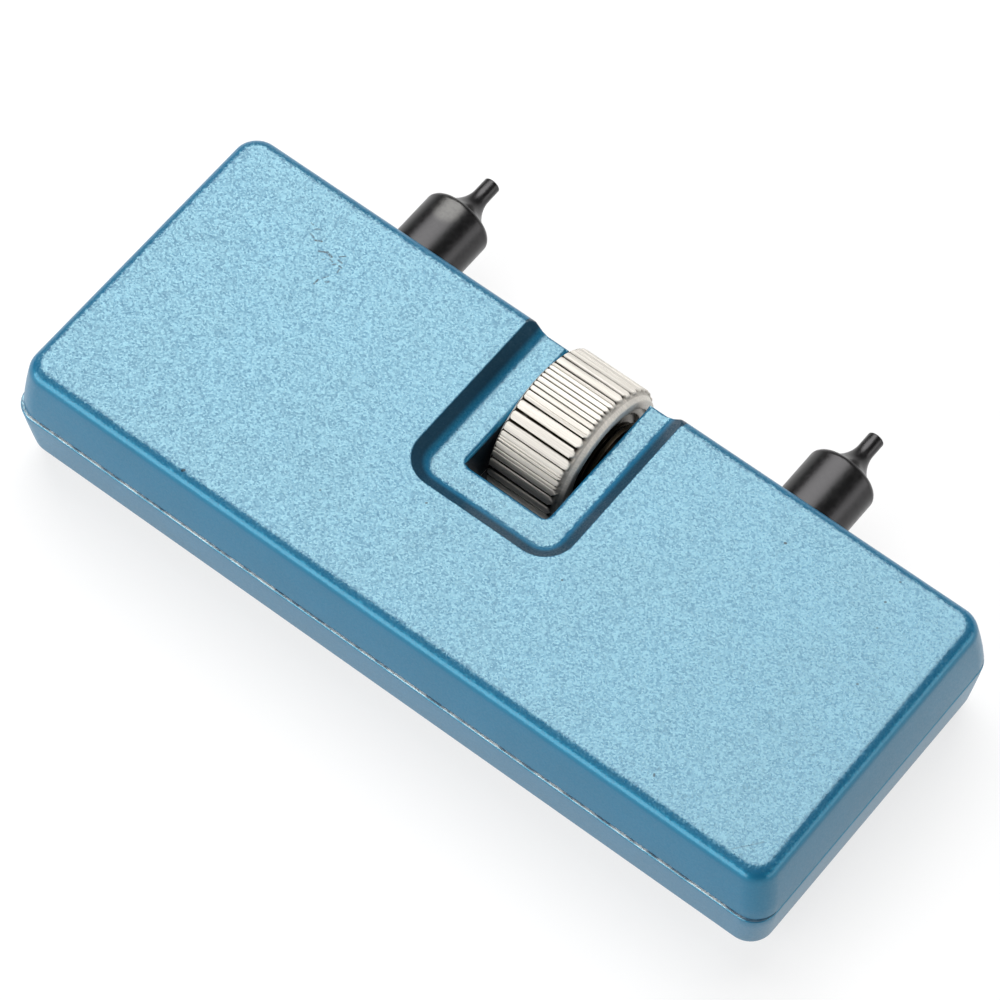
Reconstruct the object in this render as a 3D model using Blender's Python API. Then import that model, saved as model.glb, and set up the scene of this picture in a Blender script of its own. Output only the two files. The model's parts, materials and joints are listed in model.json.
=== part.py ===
"""Two-pin watch case back opener with a knurled thumb wheel.

A painted metal case in two halves holds a screw with a right-hand thread on one half and a left-hand
thread on the other. A knurled wheel on the screw shows in a window in the middle of the case. Two nut
blocks ride on the screw and carry the pins, which slide in slots in the far edge of the case.

Lengths are in metres and +Z is up. The part's origin is under the middle of its box, at the lowest point.
Everything hangs on the case_frame empty, which lies in the seam plane at the middle of the case's outline:
+X runs along the case, +Y towards the pins.
"""

import math

import bmesh
import bpy
from mathutils import Matrix, Vector

MM = 0.001

# Case outline, measured on the lower half at the seam
CASE_LENGTH = 78.0 * MM
CASE_WIDTH = 31.8 * MM
CASE_THICKNESS = 12.0 * MM
CASE_CORNER_RADIUS = 2.5 * MM
UPPER_STEP_IN = 0.2 * MM
UPPER_DRAFT = math.radians(6.5)
LOWER_DRAFT = math.radians(7.6)
UPPER_FILLET = 1.26 * MM
LOWER_FILLET = 1.0 * MM
SEAM_GAP = 0.3 * MM
FIT_GAP = 0.3 * MM

# Dished recess around the wheel, open at the far edge
DISH_DEPTH = 1.0 * MM
DISH_RIM_HALF_WIDTH = 8.05 * MM
DISH_RIM_NEAR_Y = -3.0 * MM
DISH_RIM_RADIUS = 3.0 * MM
DISH_WALL_RUN = 1.5 * MM
DISH_FLOOR_FILLET = 0.5 * MM

# Window that the wheel stands in
WINDOW_LEFT_X = -4.05 * MM
WINDOW_RIGHT_X = 4.4 * MM
WINDOW_NEAR_Y = 1.0 * MM
WINDOW_CORNER_RADIUS = 0.6 * MM

# Wheel
DRIVE_Y = 10.3 * MM
WHEEL_RADIUS = 7.05 * MM
WHEEL_LEFT_X = -3.85 * MM
WHEEL_RIGHT_X = 3.75 * MM
KNURL_LEFT_X = -3.6 * MM
KNURL_RIGHT_X = 2.98 * MM
KNURL_DEPTH = 0.35 * MM
KNURL_RIDGES = 40
RIM_BELOW_GROOVES = 0.05 * MM
RIM_CHAMFER_DROP = 0.7 * MM
COUNTERBORE_RADIUS = 4.9 * MM
COUNTERBORE_STEP_RADIUS = 5.6 * MM
COUNTERBORE_STEP_DEPTH = 0.35 * MM

# Screw, an M4 thread of 0.7 pitch, and what carries it
THREAD_RADIUS = 2.0 * MM
THREAD_DEPTH = 0.43 * MM
THREAD_LEAD = 0.7 * MM
THREAD_INNER_X = 7.4 * MM
THREAD_TURNS = 34
THREAD_SIDES = 12
SEAT_RADIUS = 2.3 * MM
END_JOURNAL_RADIUS = 1.3 * MM
END_JOURNAL_LENGTH = 3.4 * MM
SCREW_END_CHAMFER = 0.3 * MM
BUSH_WALL = 0.8 * MM
BUSH_FLANGE = 0.4 * MM
INNER_FLANGE_RADIUS = 4.4 * MM
WASHER_RADIUS = 4.0 * MM
WASHER_THICKNESS = 0.4 * MM
CHEEK_OUTER_X = 6.6 * MM
END_BUSH_WALL = 0.6 * MM
END_FLANGE_RADIUS = 2.9 * MM
END_FLANGE = 0.6 * MM

# Carriages and pins
LEFT_PIN_X = -21.05 * MM
RIGHT_PIN_X = 19.5 * MM
CHANNEL_OUTER_X = 33.0 * MM
CHANNEL_NEAR_Y = 5.0 * MM
CHANNEL_HALF_HEIGHT = 3.55 * MM
CARRIAGE_LENGTH = 7.0 * MM
CARRIAGE_FAR_Y = 15.2 * MM
CARRIAGE_EDGE = 0.4 * MM
PIN_BODY_RADIUS = 3.25 * MM
PIN_BODY_EDGE = 0.25 * MM
PIN_SHOULDER_Y = 21.75 * MM
PIN_TIP_RADIUS = 0.7 * MM
PIN_TIP_END_Y = 26.2 * MM
PIN_TIP_EDGE = 0.12 * MM
PIN_ROOT_FILLET = 1.2 * MM
PIN_STUD_RADIUS = 1.4 * MM
PIN_STUD_LENGTH = 2.3 * MM

# Hollow in the front half of the case, and the lip of the lower half that locates the upper one in it
POCKET_HALF_LENGTH = 31.2 * MM
POCKET_NEAR_Y = -13.6 * MM
POCKET_FAR_Y = -1.0 * MM
POCKET_HALF_HEIGHT = 4.0 * MM
POCKET_CORNER_RADIUS = 2.5 * MM
LIP_WALL = 0.8 * MM
LIP_RISE = 1.2 * MM

# Case screws, countersunk, driven from below
CASE_SCREW_X = 34.6 * MM
CASE_SCREW_FRONT_Y = -11.4 * MM
CASE_SCREW_REAR_Y = 4.6 * MM
CASE_SCREW_RADIUS = 1.0 * MM
CASE_SCREW_HEAD_RADIUS = 1.9 * MM
CASE_SCREW_SUNK = 0.15 * MM
CASE_SCREW_REACH = 3.0 * MM
CASE_SCREW_POINT = 0.5 * MM
CROSS_HALF_LENGTH = 1.05 * MM
CROSS_HALF_WIDTH = 0.24 * MM
CROSS_DEPTH = 0.7 * MM
CROSS_FLOOR_SCALE = 0.7

# Facet counts
CORNER_STEPS = 6
FILLET_STEPS = 4
ROUND_STEPS = 32
SMALL_ROUND_STEPS = 24
SMOOTH_ANGLE = math.radians(35)

# Worked out from the sizes above
HALF_THICKNESS = CASE_THICKNESS / 2
CUT_OVERRUN = 2.0 * MM
CUT_FAR_Y = CASE_WIDTH / 2 + CUT_OVERRUN
PART_CENTRE_Y = (PIN_TIP_END_Y - CASE_WIDTH / 2) / 2
THREAD_OUTER_X = THREAD_INNER_X + THREAD_LEAD * (THREAD_TURNS + 1)
SCREW_END_X = THREAD_OUTER_X + END_JOURNAL_LENGTH
INNER_BUSH_BORE = THREAD_RADIUS + FIT_GAP
INNER_BUSH_RADIUS = INNER_BUSH_BORE + BUSH_WALL
END_BUSH_BORE = END_JOURNAL_RADIUS + FIT_GAP
END_BUSH_RADIUS = END_BUSH_BORE + END_BUSH_WALL
HUB_LEFT_X = WINDOW_LEFT_X + BUSH_FLANGE + WASHER_THICKNESS + 3 * FIT_GAP
HUB_RIGHT_X = WINDOW_RIGHT_X - BUSH_FLANGE - WASHER_THICKNESS - 3 * FIT_GAP
END_BUSH_OUTER_X = SCREW_END_X

# Turns a shape made around Z so that it lies around another axis
TURN_TO = {
    "X": Matrix.Rotation(math.pi / 2, 4, "Y"),
    "Y": Matrix.Rotation(-math.pi / 2, 4, "X"),
    "Z": Matrix.Identity(4),
}


def clear_scene():
    for item in list(bpy.data.objects):
        bpy.data.objects.remove(item, do_unlink=True)


def make_material(name, colour, roughness, metallic):
    material = bpy.data.materials.new(name)
    material.use_nodes = True
    shader = material.node_tree.nodes["Principled BSDF"]
    shader.inputs["Base Color"].default_value = (*colour, 1.0)
    shader.inputs["Roughness"].default_value = roughness
    shader.inputs["Metallic"].default_value = metallic
    return material


def add_empty(name, location, parent=None):
    empty = bpy.data.objects.new(name, None)
    empty.location = location
    empty.parent = parent
    bpy.context.scene.collection.objects.link(empty)
    return empty


def finish_mesh(bm, name, smooth=True):
    """Close the mesh's bookkeeping and return it as mesh data with outward faces."""
    bmesh.ops.recalc_face_normals(bm, faces=bm.faces)
    mesh = bpy.data.meshes.new(name)
    bm.to_mesh(mesh)
    bm.free()
    if smooth:
        mesh.shade_smooth()
        mesh.set_sharp_from_angle(angle=SMOOTH_ANGLE)
    return mesh


def add_piece(name, mesh, material, parent, location=(0.0, 0.0, 0.0)):
    if not mesh.materials:
        mesh.materials.append(material)
    piece = bpy.data.objects.new(name, mesh)
    piece.parent = parent
    piece.location = location
    bpy.context.scene.collection.objects.link(piece)
    return piece


def add_cutter(name, mesh, parent, location=(0.0, 0.0, 0.0)):
    cutter = bpy.data.objects.new(name, mesh)
    cutter.parent = parent
    cutter.location = location
    cutter.hide_render = True
    cutter.display_type = "WIRE"
    bpy.context.scene.collection.objects.link(cutter)
    return cutter


def combine(piece, cutter, operation):
    """Cut the cutter's shape out of a piece, or join it on."""
    modifier = piece.modifiers.new(cutter.name, "BOOLEAN")
    modifier.operation = operation
    modifier.solver = "EXACT"
    modifier.object = cutter


def turned(profile, steps, axis, hollow=False):
    """Spin a profile of (place along the axis, radius) points into a round solid.

    A hollow profile is a closed loop away from the axis. Any other one is open, and closes the solid where
    it starts or ends on the axis.
    """
    bm = bmesh.new()
    points = [bm.verts.new((radius, 0.0, along)) for along, radius in profile]
    edges = [bm.edges.new(pair) for pair in zip(points, points[1:])]
    if hollow:
        edges.append(bm.edges.new((points[-1], points[0])))
    bmesh.ops.spin(bm, geom=points + edges, cent=(0, 0, 0), axis=(0, 0, 1), dvec=(0, 0, 0),
                   angle=math.tau, steps=steps, use_merge=True, use_duplicate=False)
    bmesh.ops.remove_doubles(bm, verts=bm.verts, dist=0.001 * MM)
    bmesh.ops.transform(bm, matrix=TURN_TO[axis], verts=bm.verts)
    return bm


def box(low, high):
    bm = bmesh.new()
    bmesh.ops.create_cube(bm, size=1.0)
    size = Vector(high) - Vector(low)
    bmesh.ops.scale(bm, vec=size, verts=bm.verts)
    bmesh.ops.translate(bm, vec=(Vector(high) + Vector(low)) / 2, verts=bm.verts)
    return bm


def corner_arc(centre, radius, start, steps):
    """Points of a quarter circle, counter-clockwise from the start angle."""
    angles = [start + math.pi / 2 * step / steps for step in range(steps + 1)]
    return [(centre[0] + radius * math.cos(a), centre[1] + radius * math.sin(a)) for a in angles]


def rounded_rectangle(half_x, half_y, radius):
    """Outline around the origin, counter-clockwise from the far right corner."""
    outline = []
    for quarter, (sign_x, sign_y) in enumerate(((1, 1), (-1, 1), (-1, -1), (1, -1))):
        centre = (sign_x * (half_x - radius), sign_y * (half_y - radius))
        outline += corner_arc(centre, radius, quarter * math.pi / 2, CORNER_STEPS)
    return outline


def prism(lower, lower_z, upper, upper_z):
    """Closed solid between two outlines of the same number of points, and its two end faces."""
    bm = bmesh.new()
    ends = []
    for outline, z in ((lower, lower_z), (upper, upper_z)):
        ends.append(bm.faces.new([bm.verts.new((x, y, z)) for x, y in outline]))
    loops = [edge for face in ends for edge in face.edges]
    bmesh.ops.bridge_loops(bm, edges=loops)
    return bm, ends


def round_edges(bm, edges, offset, steps):
    bmesh.ops.bevel(bm, geom=list(edges), offset=offset, offset_type="OFFSET", segments=steps,
                    profile=0.5, affect="EDGES", material=-1)


def half_shell_mesh(name, side, step_in, draft, fillet):
    """Outer form of one case half, from the seam to its flat face. side is 1 for upper and -1 for lower."""
    half_x = CASE_LENGTH / 2 - step_in
    half_y = CASE_WIDTH / 2 - step_in
    seam_z = SEAM_GAP / 2
    lean = math.tan(draft) * (HALF_THICKNESS - seam_z)
    seam = rounded_rectangle(half_x, half_y, CASE_CORNER_RADIUS)
    face = rounded_rectangle(half_x - lean, half_y - lean, CASE_CORNER_RADIUS - lean)
    bm, ends = prism(seam, seam_z, face, HALF_THICKNESS)
    fillet_offset = fillet * math.tan((math.pi / 2 - draft) / 2)
    round_edges(bm, ends[1].edges, fillet_offset, FILLET_STEPS)
    bmesh.ops.scale(bm, vec=(1, 1, side), verts=bm.verts)
    return finish_mesh(bm, name, smooth=False)


def dish_outline(half_width, near_y, radius):
    """U-shaped outline, open end at the far edge, counter-clockwise from the far left."""
    left = corner_arc((radius - half_width, near_y + radius), radius, math.pi, CORNER_STEPS)
    right = corner_arc((half_width - radius, near_y + radius), radius, 1.5 * math.pi, CORNER_STEPS)
    return [(-half_width, CUT_FAR_Y)] + left + right + [(half_width, CUT_FAR_Y)]


def dish_mesh(side):
    """Cutter for the recess: a floor with sloping walls that widen past the case's face."""
    overrun = DISH_DEPTH
    floor = dish_outline(DISH_RIM_HALF_WIDTH - DISH_WALL_RUN, DISH_RIM_NEAR_Y + DISH_WALL_RUN,
                         DISH_RIM_RADIUS - DISH_WALL_RUN / 2)
    spread = DISH_WALL_RUN * overrun / DISH_DEPTH
    above = dish_outline(DISH_RIM_HALF_WIDTH + spread, DISH_RIM_NEAR_Y - spread,
                         DISH_RIM_RADIUS + spread / 2)
    bm, ends = prism(floor, HALF_THICKNESS - DISH_DEPTH, above, HALF_THICKNESS + overrun)
    far_y = CUT_FAR_Y - FIT_GAP
    walls = [edge for edge in ends[0].edges if min(vert.co.y for vert in edge.verts) < far_y]
    round_edges(bm, walls, DISH_FLOOR_FILLET, 2)
    bmesh.ops.scale(bm, vec=(1, 1, side), verts=bm.verts)
    return finish_mesh(bm, "dish", smooth=False)


def window_mesh():
    past_face = HALF_THICKNESS + CUT_OVERRUN
    bm = box((WINDOW_LEFT_X, WINDOW_NEAR_Y, -past_face), (WINDOW_RIGHT_X, CUT_FAR_Y, past_face))
    near_corners = [edge for edge in bm.edges
                    if all(abs(vert.co.y - WINDOW_NEAR_Y) < FIT_GAP for vert in edge.verts)
                    and abs(edge.verts[0].co.z - edge.verts[1].co.z) > past_face]
    round_edges(bm, near_corners, WINDOW_CORNER_RADIUS, 3)
    return finish_mesh(bm, "window", smooth=False)


def channel_mesh(side):
    """Cutter for the slot that one carriage slides in. side is -1 for left and 1 for right."""
    inner, outer = sorted((side * CHEEK_OUTER_X, side * CHANNEL_OUTER_X))
    bm = box((inner, CHANNEL_NEAR_Y, -CHANNEL_HALF_HEIGHT), (outer, CUT_FAR_Y, CHANNEL_HALF_HEIGHT))
    return finish_mesh(bm, "channel", smooth=False)


def pocket_mesh(name, inset, low_z, high_z):
    """Block with the outline of the upper half's hollow, drawn in all round by the inset."""
    half_y = (POCKET_FAR_Y - POCKET_NEAR_Y) / 2
    outline = rounded_rectangle(POCKET_HALF_LENGTH - inset, half_y - inset, POCKET_CORNER_RADIUS - inset)
    bm, _ = prism(outline, low_z, outline, high_z)
    bmesh.ops.translate(bm, vec=(0, POCKET_NEAR_Y + half_y, 0), verts=bm.verts)
    return finish_mesh(bm, name, smooth=False)


def tunnel_mesh():
    """Cutter for the round seats that the four bushes lie in, all on the screw's axis."""
    end_x = END_BUSH_OUTER_X + FIT_GAP
    end_seat = END_BUSH_RADIUS + FIT_GAP
    cheek_seat = INNER_BUSH_RADIUS + FIT_GAP
    end_seat_start = CHANNEL_OUTER_X - FIT_GAP
    cheek_seat_end = CHEEK_OUTER_X + FIT_GAP
    free = THREAD_RADIUS
    right = [(0.0, free), (WHEEL_RIGHT_X, free), (WHEEL_RIGHT_X, cheek_seat), (cheek_seat_end, cheek_seat),
             (cheek_seat_end, free), (end_seat_start, free), (end_seat_start, end_seat),
             (end_x, end_seat), (end_x, 0.0)]
    left = [(-along, radius) for along, radius in reversed(right[1:])]
    return finish_mesh(turned(left + right, SMALL_ROUND_STEPS, "X"), "tunnel", smooth=False)


def case_screw_hole_mesh():
    wide = CASE_SCREW_HEAD_RADIUS + FIT_GAP
    narrow = CASE_SCREW_RADIUS + FIT_GAP
    head_z = CASE_SCREW_SUNK - HALF_THICKNESS
    neck_z = head_z + wide - narrow
    low_z = -HALF_THICKNESS - CUT_OVERRUN
    high_z = CASE_SCREW_REACH + FIT_GAP
    profile = [(low_z, 0.0), (low_z, wide), (head_z, wide), (neck_z, narrow), (high_z, narrow), (high_z, 0.0)]
    return finish_mesh(turned(profile, SMALL_ROUND_STEPS, "Z"), "case_screw_hole", smooth=False)


def case_screw_places():
    """Name and place of each case screw, seen from above."""
    places = []
    for row, y in (("front", CASE_SCREW_FRONT_Y), ("rear", CASE_SCREW_REAR_Y)):
        for hand, x in (("left", -CASE_SCREW_X), ("right", CASE_SCREW_X)):
            places.append((f"{row}_{hand}_case_screw", (x, y, 0.0)))
    return places


def build_case(frame, paint):
    """Both halves of the case, cut by the same window, slots, seats and screw holes across the seam."""
    shared = [add_cutter("window_cut", window_mesh(), frame),
              add_cutter("left_channel_cut", channel_mesh(-1), frame),
              add_cutter("right_channel_cut", channel_mesh(1), frame),
              add_cutter("tunnel_cut", tunnel_mesh(), frame, (0.0, DRIVE_Y, 0.0))]
    hole = case_screw_hole_mesh()
    shared += [add_cutter(f"{name}_hole_cut", hole, frame, place) for name, place in case_screw_places()]

    upper_mesh = half_shell_mesh("upper_shell", 1, UPPER_STEP_IN, UPPER_DRAFT, UPPER_FILLET)
    upper = add_piece("upper_shell", upper_mesh, paint, frame)
    hollow = pocket_mesh("upper_pocket", 0.0, -LIP_RISE, POCKET_HALF_HEIGHT)
    own = [add_cutter("upper_dish_cut", dish_mesh(1), frame), add_cutter("upper_pocket_cut", hollow, frame)]
    for cutter in own + shared:
        combine(upper, cutter, "DIFFERENCE")

    lower_mesh = half_shell_mesh("lower_shell", -1, 0.0, LOWER_DRAFT, LOWER_FILLET)
    lower = add_piece("lower_shell", lower_mesh, paint, frame)
    lip = pocket_mesh("lip", FIT_GAP, -LIP_RISE, LIP_RISE)
    combine(lower, add_cutter("lip_block", lip, frame), "UNION")
    hollow = pocket_mesh("lower_pocket", FIT_GAP + LIP_WALL, -POCKET_HALF_HEIGHT, POCKET_HALF_HEIGHT)
    own = [add_cutter("lower_dish_cut", dish_mesh(-1), frame), add_cutter("lower_pocket_cut", hollow, frame)]
    for cutter in own + shared:
        combine(lower, cutter, "DIFFERENCE")


def cross_reach(angle):
    """Distance from the middle of the cross recess to its edge, in one direction."""
    fold = (angle + math.pi / 4) % (math.pi / 2) - math.pi / 4
    along = CROSS_HALF_LENGTH / math.cos(fold)
    across = CROSS_HALF_WIDTH / max(abs(math.sin(fold)), CROSS_HALF_WIDTH / CROSS_HALF_LENGTH)
    return min(along, across)


def case_screw_mesh():
    """Countersunk screw with its head down and a cross recess in the head."""
    head_z = CASE_SCREW_SUNK - HALF_THICKNESS
    neck_z = head_z + CASE_SCREW_HEAD_RADIUS - CASE_SCREW_RADIUS
    point_z = CASE_SCREW_REACH - CASE_SCREW_POINT
    point_radius = CASE_SCREW_RADIUS - CASE_SCREW_POINT
    profile = [(head_z, CASE_SCREW_HEAD_RADIUS), (neck_z, CASE_SCREW_RADIUS), (point_z, CASE_SCREW_RADIUS),
               (CASE_SCREW_REACH, point_radius), (CASE_SCREW_REACH, 0.0)]
    bm = turned(profile, SMALL_ROUND_STEPS, "Z")
    rim = [edge for edge in bm.edges if edge.is_boundary]
    head = bmesh.ops.contextual_create(bm, geom=rim)["faces"]
    bmesh.ops.inset_region(bm, faces=head, thickness=CASE_SCREW_HEAD_RADIUS / 4)
    for vert in head[0].verts:
        angle = math.atan2(vert.co.y, vert.co.x)
        vert.co.x = cross_reach(angle) * math.cos(angle)
        vert.co.y = cross_reach(angle) * math.sin(angle)
    floor = bmesh.ops.extrude_discrete_faces(bm, faces=head)["faces"]
    bmesh.ops.translate(bm, vec=(0, 0, CROSS_DEPTH), verts=floor[0].verts)
    bmesh.ops.scale(bm, vec=(CROSS_FLOOR_SCALE, CROSS_FLOOR_SCALE, 1), verts=floor[0].verts)
    return finish_mesh(bm, "case_screw")


def build_case_screws(frame, steel):
    mesh = case_screw_mesh()
    for name, place in case_screw_places():
        add_piece(name, mesh, steel, frame, place)


def thumb_wheel_mesh():
    """Wheel around X: a turned body whose rim is grooved along the axis."""
    bore = SEAT_RADIUS + FIT_GAP
    groove_radius = WHEEL_RADIUS - KNURL_DEPTH
    rim_radius = groove_radius - RIM_BELOW_GROOVES
    left_face_radius = rim_radius - (KNURL_LEFT_X - WHEEL_LEFT_X)
    step_x = WHEEL_RIGHT_X - COUNTERBORE_STEP_DEPTH
    profile = [(HUB_LEFT_X, bore), (HUB_LEFT_X, COUNTERBORE_RADIUS), (WHEEL_LEFT_X, COUNTERBORE_RADIUS),
               (WHEEL_LEFT_X, left_face_radius), (KNURL_LEFT_X, WHEEL_RADIUS), (KNURL_RIGHT_X, WHEEL_RADIUS),
               (KNURL_RIGHT_X, rim_radius), (WHEEL_RIGHT_X, rim_radius - RIM_CHAMFER_DROP),
               (WHEEL_RIGHT_X, COUNTERBORE_STEP_RADIUS), (step_x, COUNTERBORE_STEP_RADIUS),
               (step_x, COUNTERBORE_RADIUS), (HUB_RIGHT_X, COUNTERBORE_RADIUS), (HUB_RIGHT_X, bore)]
    points_per_ridge = 3
    bm = turned(profile, KNURL_RIDGES * points_per_ridge, "X", hollow=True)
    step = math.tau / (KNURL_RIDGES * points_per_ridge)
    for vert in bm.verts:
        radius = math.hypot(vert.co.y, vert.co.z)
        line = round(math.atan2(vert.co.z, vert.co.y) / step)
        is_groove = line % points_per_ridge == points_per_ridge - 1
        if radius > groove_radius and is_groove:
            vert.co.y *= groove_radius / radius
            vert.co.z *= groove_radius / radius
    return finish_mesh(bm, "thumb_wheel")


def add_ring(bm, x, radius):
    """Ring of points around X, counter-clockwise seen from +X, starting on +Y."""
    angles = [math.tau * side / THREAD_SIDES for side in range(THREAD_SIDES)]
    return [bm.verts.new((x, radius * math.cos(a), radius * math.sin(a))) for a in angles]


def join_rings(bm, left, right):
    for side in range(THREAD_SIDES):
        after = (side + 1) % THREAD_SIDES
        bm.faces.new((left[side], left[after], right[after], right[side]))


def add_thread(bm, ring_in, start_x, hand):
    """Thread that runs on from a ring of root radius, and the root ring that ends it.

    The crest and the root are each one helix of points. The crest fades in over the first turn and out
    over the last, so the helix meets the plain rings in one flat end wall. hand is 1 for a right-hand
    thread and -1 for a left-hand one.
    """
    root = THREAD_RADIUS - THREAD_DEPTH
    last = THREAD_TURNS * THREAD_SIDES

    def helix_point(index, shift, radius):
        angle = hand * math.tau * index / THREAD_SIDES
        x = start_x + THREAD_LEAD * (0.5 + shift + index / THREAD_SIDES)
        return bm.verts.new((x, radius * math.cos(angle), radius * math.sin(angle)))

    def crest_radius(index):
        fade = min(index, last - index, THREAD_SIDES) / THREAD_SIDES
        return root + THREAD_DEPTH * fade

    crest = [helix_point(index, 0.0, crest_radius(index)) for index in range(last + 1)]
    groove = [helix_point(index, 0.5, root) for index in range(last - THREAD_SIDES + 1)]
    for index in range(last - THREAD_SIDES):
        turn_on = index + THREAD_SIDES
        bm.faces.new((crest[index], crest[index + 1], groove[index + 1], groove[index]))
        bm.faces.new((groove[index], groove[index + 1], crest[turn_on + 1], crest[turn_on]))

    ring_out = add_ring(bm, start_x + THREAD_LEAD * (THREAD_TURNS + 1), root)
    first_of_last_turn = last - THREAD_SIDES
    for side in range(THREAD_SIDES):
        here = hand * side % THREAD_SIDES
        after = hand * (side + 1) % THREAD_SIDES
        bm.faces.new((ring_in[here], ring_in[after], crest[side + 1], crest[side]))
        end = first_of_last_turn + side
        bm.faces.new((crest[end], crest[end + 1], ring_out[after], ring_out[here]))
    bm.faces.new((ring_in[0], crest[0], groove[0], crest[THREAD_SIDES]))
    bm.faces.new((ring_out[0], crest[first_of_last_turn], groove[-1], crest[-1]))
    return ring_out


def lead_screw_mesh():
    """Screw along X: end journal, left-hand thread, wheel seat, right-hand thread, end journal."""
    bm = bmesh.new()
    root = THREAD_RADIUS - THREAD_DEPTH
    point_radius = END_JOURNAL_RADIUS - SCREW_END_CHAMFER
    chamfer_x = SCREW_END_X - SCREW_END_CHAMFER
    shoulder_x = THREAD_OUTER_X + FIT_GAP
    outer = [(SCREW_END_X, point_radius), (chamfer_x, END_JOURNAL_RADIUS),
             (shoulder_x, END_JOURNAL_RADIUS), (THREAD_OUTER_X, root)]
    inner = [(THREAD_INNER_X, root), (THREAD_INNER_X - FIT_GAP, THREAD_RADIUS)]
    seat = [(HUB_LEFT_X, THREAD_RADIUS), (HUB_LEFT_X, SEAT_RADIUS),
            (HUB_RIGHT_X, SEAT_RADIUS), (HUB_RIGHT_X, THREAD_RADIUS)]

    def chain(ring, places):
        for x, radius in places:
            ahead = add_ring(bm, x, radius)
            join_rings(bm, ring, ahead)
            ring = ahead
        return ring

    first = add_ring(bm, -SCREW_END_X, point_radius)
    bm.faces.new(first)
    ring = chain(first, [(-x, radius) for x, radius in outer[1:]])
    ring = add_thread(bm, ring, -THREAD_OUTER_X, -1)
    ring = chain(ring, [(-x, radius) for x, radius in inner[1:]])
    ring = chain(ring, seat)
    ring = chain(ring, list(reversed(inner)))
    ring = add_thread(bm, ring, THREAD_INNER_X, 1)
    ring = chain(ring, list(reversed(outer[:-1])))
    bm.faces.new(ring)
    return finish_mesh(bm, "lead_screw")


def build_drive(axis, nickel, steel):
    add_piece("thumb_wheel", thumb_wheel_mesh(), nickel, axis)
    add_piece("lead_screw", lead_screw_mesh(), steel, axis)


def bush_mesh(name, side, face_x, flange, flange_radius, radius, bore, outer_x):
    """Flanged bush around X. Its flange starts at face_x, and its body runs outwards to outer_x."""
    profile = [(face_x, bore), (face_x, flange_radius), (face_x + side * flange, flange_radius),
               (face_x + side * flange, radius), (outer_x, radius), (outer_x, bore)]
    return finish_mesh(turned(profile, SMALL_ROUND_STEPS, "X", hollow=True), name)


def washer_mesh(name, low_x):
    high_x = low_x + WASHER_THICKNESS
    bore = INNER_BUSH_BORE
    profile = [(low_x, bore), (low_x, WASHER_RADIUS), (high_x, WASHER_RADIUS), (high_x, bore)]
    return finish_mesh(turned(profile, SMALL_ROUND_STEPS, "X", hollow=True), name)


def build_bearings(axis, brass, steel):
    """Bushes in the cheeks and at the ends, and a washer on each side of the wheel's hub."""
    sides = (("left", -1, WINDOW_LEFT_X, HUB_LEFT_X - FIT_GAP - WASHER_THICKNESS),
             ("right", 1, WINDOW_RIGHT_X, HUB_RIGHT_X + FIT_GAP))
    for hand, side, cheek_x, washer_x in sides:
        inner_face_x = cheek_x - side * (FIT_GAP + BUSH_FLANGE)
        inner = bush_mesh(f"{hand}_inner_bush", side, inner_face_x, BUSH_FLANGE, INNER_FLANGE_RADIUS,
                          INNER_BUSH_RADIUS, INNER_BUSH_BORE, side * CHEEK_OUTER_X)
        add_piece(f"{hand}_inner_bush", inner, brass, axis)
        end_face_x = side * (CHANNEL_OUTER_X - FIT_GAP - END_FLANGE)
        end = bush_mesh(f"{hand}_end_bush", side, end_face_x, END_FLANGE, END_FLANGE_RADIUS,
                        END_BUSH_RADIUS, END_BUSH_BORE, side * END_BUSH_OUTER_X)
        add_piece(f"{hand}_end_bush", end, brass, axis)
        add_piece(f"{hand}_thrust_washer", washer_mesh(f"{hand}_thrust_washer", washer_x), steel, axis)


def carriage_mesh():
    """Block around the crossing of the screw's axis and the pin's axis."""
    half_x = CARRIAGE_LENGTH / 2
    half_z = CHANNEL_HALF_HEIGHT - FIT_GAP
    near_y = CHANNEL_NEAR_Y + FIT_GAP - DRIVE_Y
    bm = box((-half_x, near_y, -half_z), (half_x, CARRIAGE_FAR_Y - DRIVE_Y, half_z))
    round_edges(bm, bm.edges, CARRIAGE_EDGE, 2)
    return finish_mesh(bm, "carriage", smooth=False)


def carriage_bore_mesh():
    """Cutter for the screw's hole, clear of the thread's crest."""
    half_x = CARRIAGE_LENGTH / 2 + CUT_OVERRUN
    radius = THREAD_RADIUS + FIT_GAP
    profile = [(-half_x, 0.0), (-half_x, radius), (half_x, radius), (half_x, 0.0)]
    return finish_mesh(turned(profile, SMALL_ROUND_STEPS, "X"), "carriage_bore", smooth=False)


def stud_hole_mesh():
    """Cutter for the hole that the pin's stud screws into, open into the screw's hole."""
    far_y = CARRIAGE_FAR_Y - DRIVE_Y + CUT_OVERRUN
    radius = PIN_STUD_RADIUS + FIT_GAP
    profile = [(0.0, 0.0), (0.0, radius), (far_y, radius), (far_y, 0.0)]
    return finish_mesh(turned(profile, SMALL_ROUND_STEPS, "Y"), "stud_hole", smooth=False)


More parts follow.
